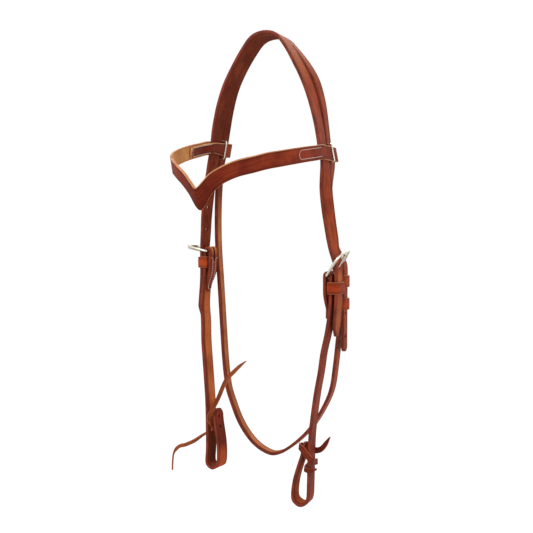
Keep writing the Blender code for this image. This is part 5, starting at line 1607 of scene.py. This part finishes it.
def build_stitches(name, body, seams, sizes, colors):
    """Rows of thread. A seam is a list of points on the leather with the direction that it faces."""
    bm = bmesh.new()
    for points in seams:
        lengths = [0.0]
        for (start, _), (end, _) in zip(points, points[1:]):
            lengths.append(lengths[-1] + (end - start).length)
        count = max(1, round(lengths[-1] / sizes.stitch_pitch))
        pitch = lengths[-1] / count

        def spot(distance):
            k = next((k for k, far in enumerate(lengths[1:]) if distance <= far), len(points) - 2)
            share = (distance - lengths[k]) / (lengths[k + 1] - lengths[k])
            return points[k][0].lerp(points[k + 1][0], share), points[k][1].lerp(points[k + 1][1], share)

        for k in range(count):
            start, _ = spot(k * pitch + sizes.stitch_gap / 2)
            end, face = spot((k + 1) * pitch - sizes.stitch_gap / 2)
            along = (end - start).normalized()
            side = face.cross(along).normalized()
            matrix = axes_matrix((start + end) / 2, along, side, along.cross(side))
            size = Matrix.Diagonal(((end - start).length / 2, sizes.thread, sizes.thread * 0.75, 1.0))
            bmesh.ops.create_uvsphere(bm, u_segments=8, v_segments=6, radius=1.0,
                                      matrix=matrix @ size @ Matrix.Rotation(math.pi / 2, 4, "Y"))
    finish = shared("thread", waxed_thread, colors.thread)
    ride(rounded_mesh(name, bm, finish), body, None)


def u_places(start, turn, half):
    """A seam along one side of a strap's end, round it and back."""
    way = 1.0 if turn > start else -1.0
    places = [(start, -half), (turn - way * half * 0.9, -half)]
    for degrees in (-60, -30, 0, 30, 60):
        angle = math.radians(degrees)
        places.append((turn + way * half * 0.9 * (math.cos(angle) - 1.0), half * math.sin(angle)))
    return places + [(turn - way * half * 0.9, half), (start, half)]


def browband_seams():
    """The U of stitches at each end of the browband, on its outside and on the folded end."""
    half = LINING_WIDTH * 0.41
    seams = []
    for side, fold, way, tip in ((OFF, BROW_START_FOLD, 1.0, 0.0), (NEAR, BROW_END_FOLD, -1.0, BROW.length)):
        reach = side.lining - BROW_TAB - CROWN_WIDTH / 2
        outer = u_places(fold + way * (side.lining - reach * 0.86),
                         fold + way * (side.lining - SEAM_INSET), half)
        inner = u_places(tip + way * reach * 0.86, tip + way * SEAM_INSET, half)
        seams += [seam(BROW, places, BROW_LEATHER) for places in (outer, inner)]
    return seams


def fold_seam(route, length, half, spread):
    """The stitches that close a fold below its keeper, seen on the folded end."""
    start = length - SLOT_LENGTH + 0.003
    foot = start + 0.001
    turn = u_places(start, SEAM_INSET, half)
    return seam(route, [(foot, -half - spread), *turn, (foot, half + spread)], LEATHER)


# Stage

def build_stage(setting):
    """The camera at the photograph's angle, a pale floor and backdrop, and soft lamps."""
    scene = bpy.context.scene
    scene.view_settings.view_transform = "Standard"
    turn, rise = setting.azimuth, setting.elevation
    back = Vector((math.sin(turn) * math.cos(rise), -math.cos(turn) * math.cos(rise), math.sin(rise)))
    side = back.cross(UP).normalized()
    target = Vector(setting.target)

    def aimed(name, data, offset):
        item = linked(name, data)
        item.matrix_world = Matrix.LocRotScale(target + offset, offset.to_track_quat("Z", "Y"), None)
        return item

    lens = bpy.data.cameras.new("camera")
    lens.lens = setting.lens
    lens.sensor_width = 36.0
    lens.clip_start = 0.01
    scene.camera = aimed("camera", lens, back * setting.distance)
    bm = bmesh.new()
    low = Matrix.Translation((0.0, 0.0, PACKED_BOX[0].z - setting.floor_drop))
    bmesh.ops.create_grid(bm, x_segments=1, y_segments=1, size=FLOOR_SIZE, matrix=low)
    data = bpy.data.meshes.new("floor")
    bm.to_mesh(data)
    bm.free()
    data.materials.append(pale_floor())
    floor = linked("floor", data)
    # Each lamp's power and size, and how far it stands towards the camera, aside and up
    lamps = {
        "key": (setting.key_power, 0.7, (0.9, 0.7, 0.9)),
        "fill": (setting.fill_power, 0.9, (1.0, -0.9, 0.1)),
        "behind": (setting.rim_power, 0.8, (-0.9, -0.3, 0.8)),
    }
    for name, (power, size, (ahead, aside, above)) in lamps.items():
        light = bpy.data.lights.new(name, "AREA")
        light.shape = "SQUARE"
        light.size = size
        light.energy = power
        aimed(name, light, back * ahead + side * aside + UP * above)
    scene.world = studio_sky(setting.sky)


def studio_sky(strength):
    """Soft light from all round, behind which the camera sees white."""
    g = Graph("studio", "worlds")
    g.nodes.clear()
    soft = g.add("ShaderNodeBackground", {}, {"Color": WHITE, "Strength": strength})
    return g.backdrop("ShaderNodeOutputWorld", soft, g.add("ShaderNodeBackground", {}, {"Color": WHITE}))


def pale_floor():
    """White to the camera and in reflections, with the shadows that fall on it."""
    g = Graph("pale_floor")
    g.nodes.clear()
    matt = g.add("ShaderNodeBsdfDiffuse", {}, {"Color": painted(225, 225, 225)})
    dim = g.add("ShaderNodeBsdfDiffuse", {}, {"Color": painted(150, 150, 150)})
    glow = g.add("ShaderNodeEmission", {}, {"Color": WHITE, "Strength": 0.84})
    shown = g.add("ShaderNodeAddShader", {}, {0: dim, 1: glow})
    return g.backdrop("ShaderNodeOutputMaterial", matt, shown)


# Operators

def chosen(context):
    """The sizes and the colours."""
    return context.scene.headstall_sizes, context.scene.headstall_colors


class HEADSTALL_OT_stage(Operator):
    """Set the camera, the floor and the lamps"""

    bl_idname = "headstall.stage"
    bl_label = "Stage"

    def execute(self, context):
        build_stage(context.scene.headstall_stage)
        return {"FINISHED"}


class HEADSTALL_OT_crown(Operator):
    """Build the crown with its billets and the throatlatch"""

    bl_idname = "headstall.crown"
    bl_label = "Crown and throatlatch"

    def execute(self, context):
        build_crown(*chosen(context))
        return {"FINISHED"}


class HEADSTALL_OT_browband(Operator):
    """Build the browband"""

    bl_idname = "headstall.browband"
    bl_label = "Browband"

    def execute(self, context):
        build_browband(*chosen(context))
        return {"FINISHED"}


class HEADSTALL_OT_cheeks(Operator):
    """Build both cheek straps"""

    bl_idname = "headstall.cheeks"
    bl_label = "Cheek straps"

    def execute(self, context):
        for side in (NEAR, OFF):
            build_cheek(side, *chosen(context))
        return {"FINISHED"}


class HEADSTALL_OT_steel(Operator):
    """Build the buckles and the browband's loops"""

    bl_idname = "headstall.steel"
    bl_label = "Buckles and loops"

    def execute(self, context):
        sizes, colors = chosen(context)
        finish = shared("polished_steel", polished_steel, colors.steel)
        for side in (NEAR, OFF):
            build_buckle(side.name + "_cheek_", side.buckle_matrix(), BILLET_WIDTH, FRAME_SIDE_PLAY, WIRE,
                         TONGUE, FRAME_LENGTH, finish, sizes)
            build_browband_loop(side, finish, sizes)
        build_buckle("throat_", THROAT_BUCKLE, THROAT_WIDTH, THROAT_FRAME_PLAY, THROAT_WIRE,
                     THROAT_TONGUE, THROAT_FRAME_LENGTH, finish, sizes)
        return {"FINISHED"}


class HEADSTALL_OT_keepers(Operator):
    """Build the four keepers"""

    bl_idname = "headstall.keepers"
    bl_label = "Keepers"

    def execute(self, context):
        sizes, colors = chosen(context)
        grain = shared("keeper_grain", grain_leather, colors.keeper_light, colors.keeper_dark,
                       colors.burnished)
        materials = (grain, cheek_flesh_finish(colors), pale_finish(colors))
        for side in (NEAR, OFF):
            main = side.heel + side.outwards * FOLD_RADIUS - UP * KEEPER_DROP
            build_keeper(side.name + "_cheek_keeper", main, side.billet_pass - FOLD_RADIUS + LEATHER / 2,
                         CHEEK_WIDTH, KEEPER_PLAY, KEEPER_HEIGHT, materials, "crown", sizes, side.sign)
        outer = THROAT_PASS - THROAT_FOLD_RADIUS + LEATHER / 2
        throat = (
            ("throat_fixed_keeper", THROAT_KEEPER_DROP, KEEPER_PLAY, "crown"),
            ("throat_sliding_keeper", SLIDING_KEEPER_DROP, SLIDING_PLAY, "throat_keeper"),
        )
        for name, drop, play, body in throat:
            main = THROAT_HEEL + ACROSS * THROAT_FOLD_RADIUS - UP * drop
            build_keeper(name, main, outer, THROAT_WIDTH, play, THROAT_KEEPER_HEIGHT, materials, body, sizes)
        return {"FINISHED"}


class HEADSTALL_OT_laces(Operator):
    """Build the laces that tie the bit loops"""

    bl_idname = "headstall.laces"
    bl_label = "Tie laces"

    def execute(self, context):
        sizes, colors = chosen(context)
        build_lace(NEAR, colors.near_lace_light, colors.near_lace_dark, sizes, colors)
        build_lace(OFF, colors.lace_light, colors.lace_dark, sizes, colors)
        return {"FINISHED"}


class HEADSTALL_OT_stitching(Operator):
    """Sew the browband's ends and the folds of the buckles"""

    bl_idname = "headstall.stitching"
    bl_label = "Stitching"

    def execute(self, context):
        sizes, colors = chosen(context)
        build_stitches("browband_stitches", "browband", browband_seams(), sizes, colors)
        seams = [fold_seam(CHEEKS[side], FOLD_BACK, *CHEEK_SEAM) for side in (NEAR, OFF)]
        seams.append(fold_seam(NARROW, THROAT_FOLD_BACK, *THROAT_SEAM))
        build_stitches("fold_stitches", "crown", seams, sizes, colors)
        return {"FINISHED"}


class HEADSTALL_PT_sidebar(Panel):
    """The headstall's sizes, colours and operators."""

    bl_label = "Western Headstall"
    bl_space_type = "VIEW_3D"
    bl_region_type = "UI"
    bl_category = "Headstall"

    def draw(self, context):
        for operator in OPERATORS:
            self.layout.operator(operator.bl_idname)
        for group in (context.scene.headstall_sizes, context.scene.headstall_colors,
                      context.scene.headstall_stage):
            column = self.layout.column(align=True)
            for name in group.__annotations__:
                column.prop(group, name)


GROUPS = {"headstall_sizes": HeadstallSizes, "headstall_colors": HeadstallColors,
          "headstall_stage": HeadstallStage}
OPERATORS = (
    HEADSTALL_OT_stage, HEADSTALL_OT_crown, HEADSTALL_OT_browband, HEADSTALL_OT_cheeks,
    HEADSTALL_OT_steel, HEADSTALL_OT_keepers, HEADSTALL_OT_laces, HEADSTALL_OT_stitching,
)


def register():
    for item in (*GROUPS.values(), *OPERATORS, HEADSTALL_PT_sidebar):
        bpy.utils.register_class(item)
    for name, group in GROUPS.items():
        setattr(bpy.types.Scene, name, PointerProperty(type=group))


def unregister():
    for name in GROUPS:
        delattr(bpy.types.Scene, name)
    for item in (HEADSTALL_PT_sidebar, *OPERATORS, *GROUPS.values()):
        bpy.utils.unregister_class(item)


def main():
    register()
    for operator in OPERATORS:
        group, name = operator.bl_idname.split(".")
        getattr(getattr(bpy.ops, group), name)()
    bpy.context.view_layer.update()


if __name__ == "__main__":
    main()
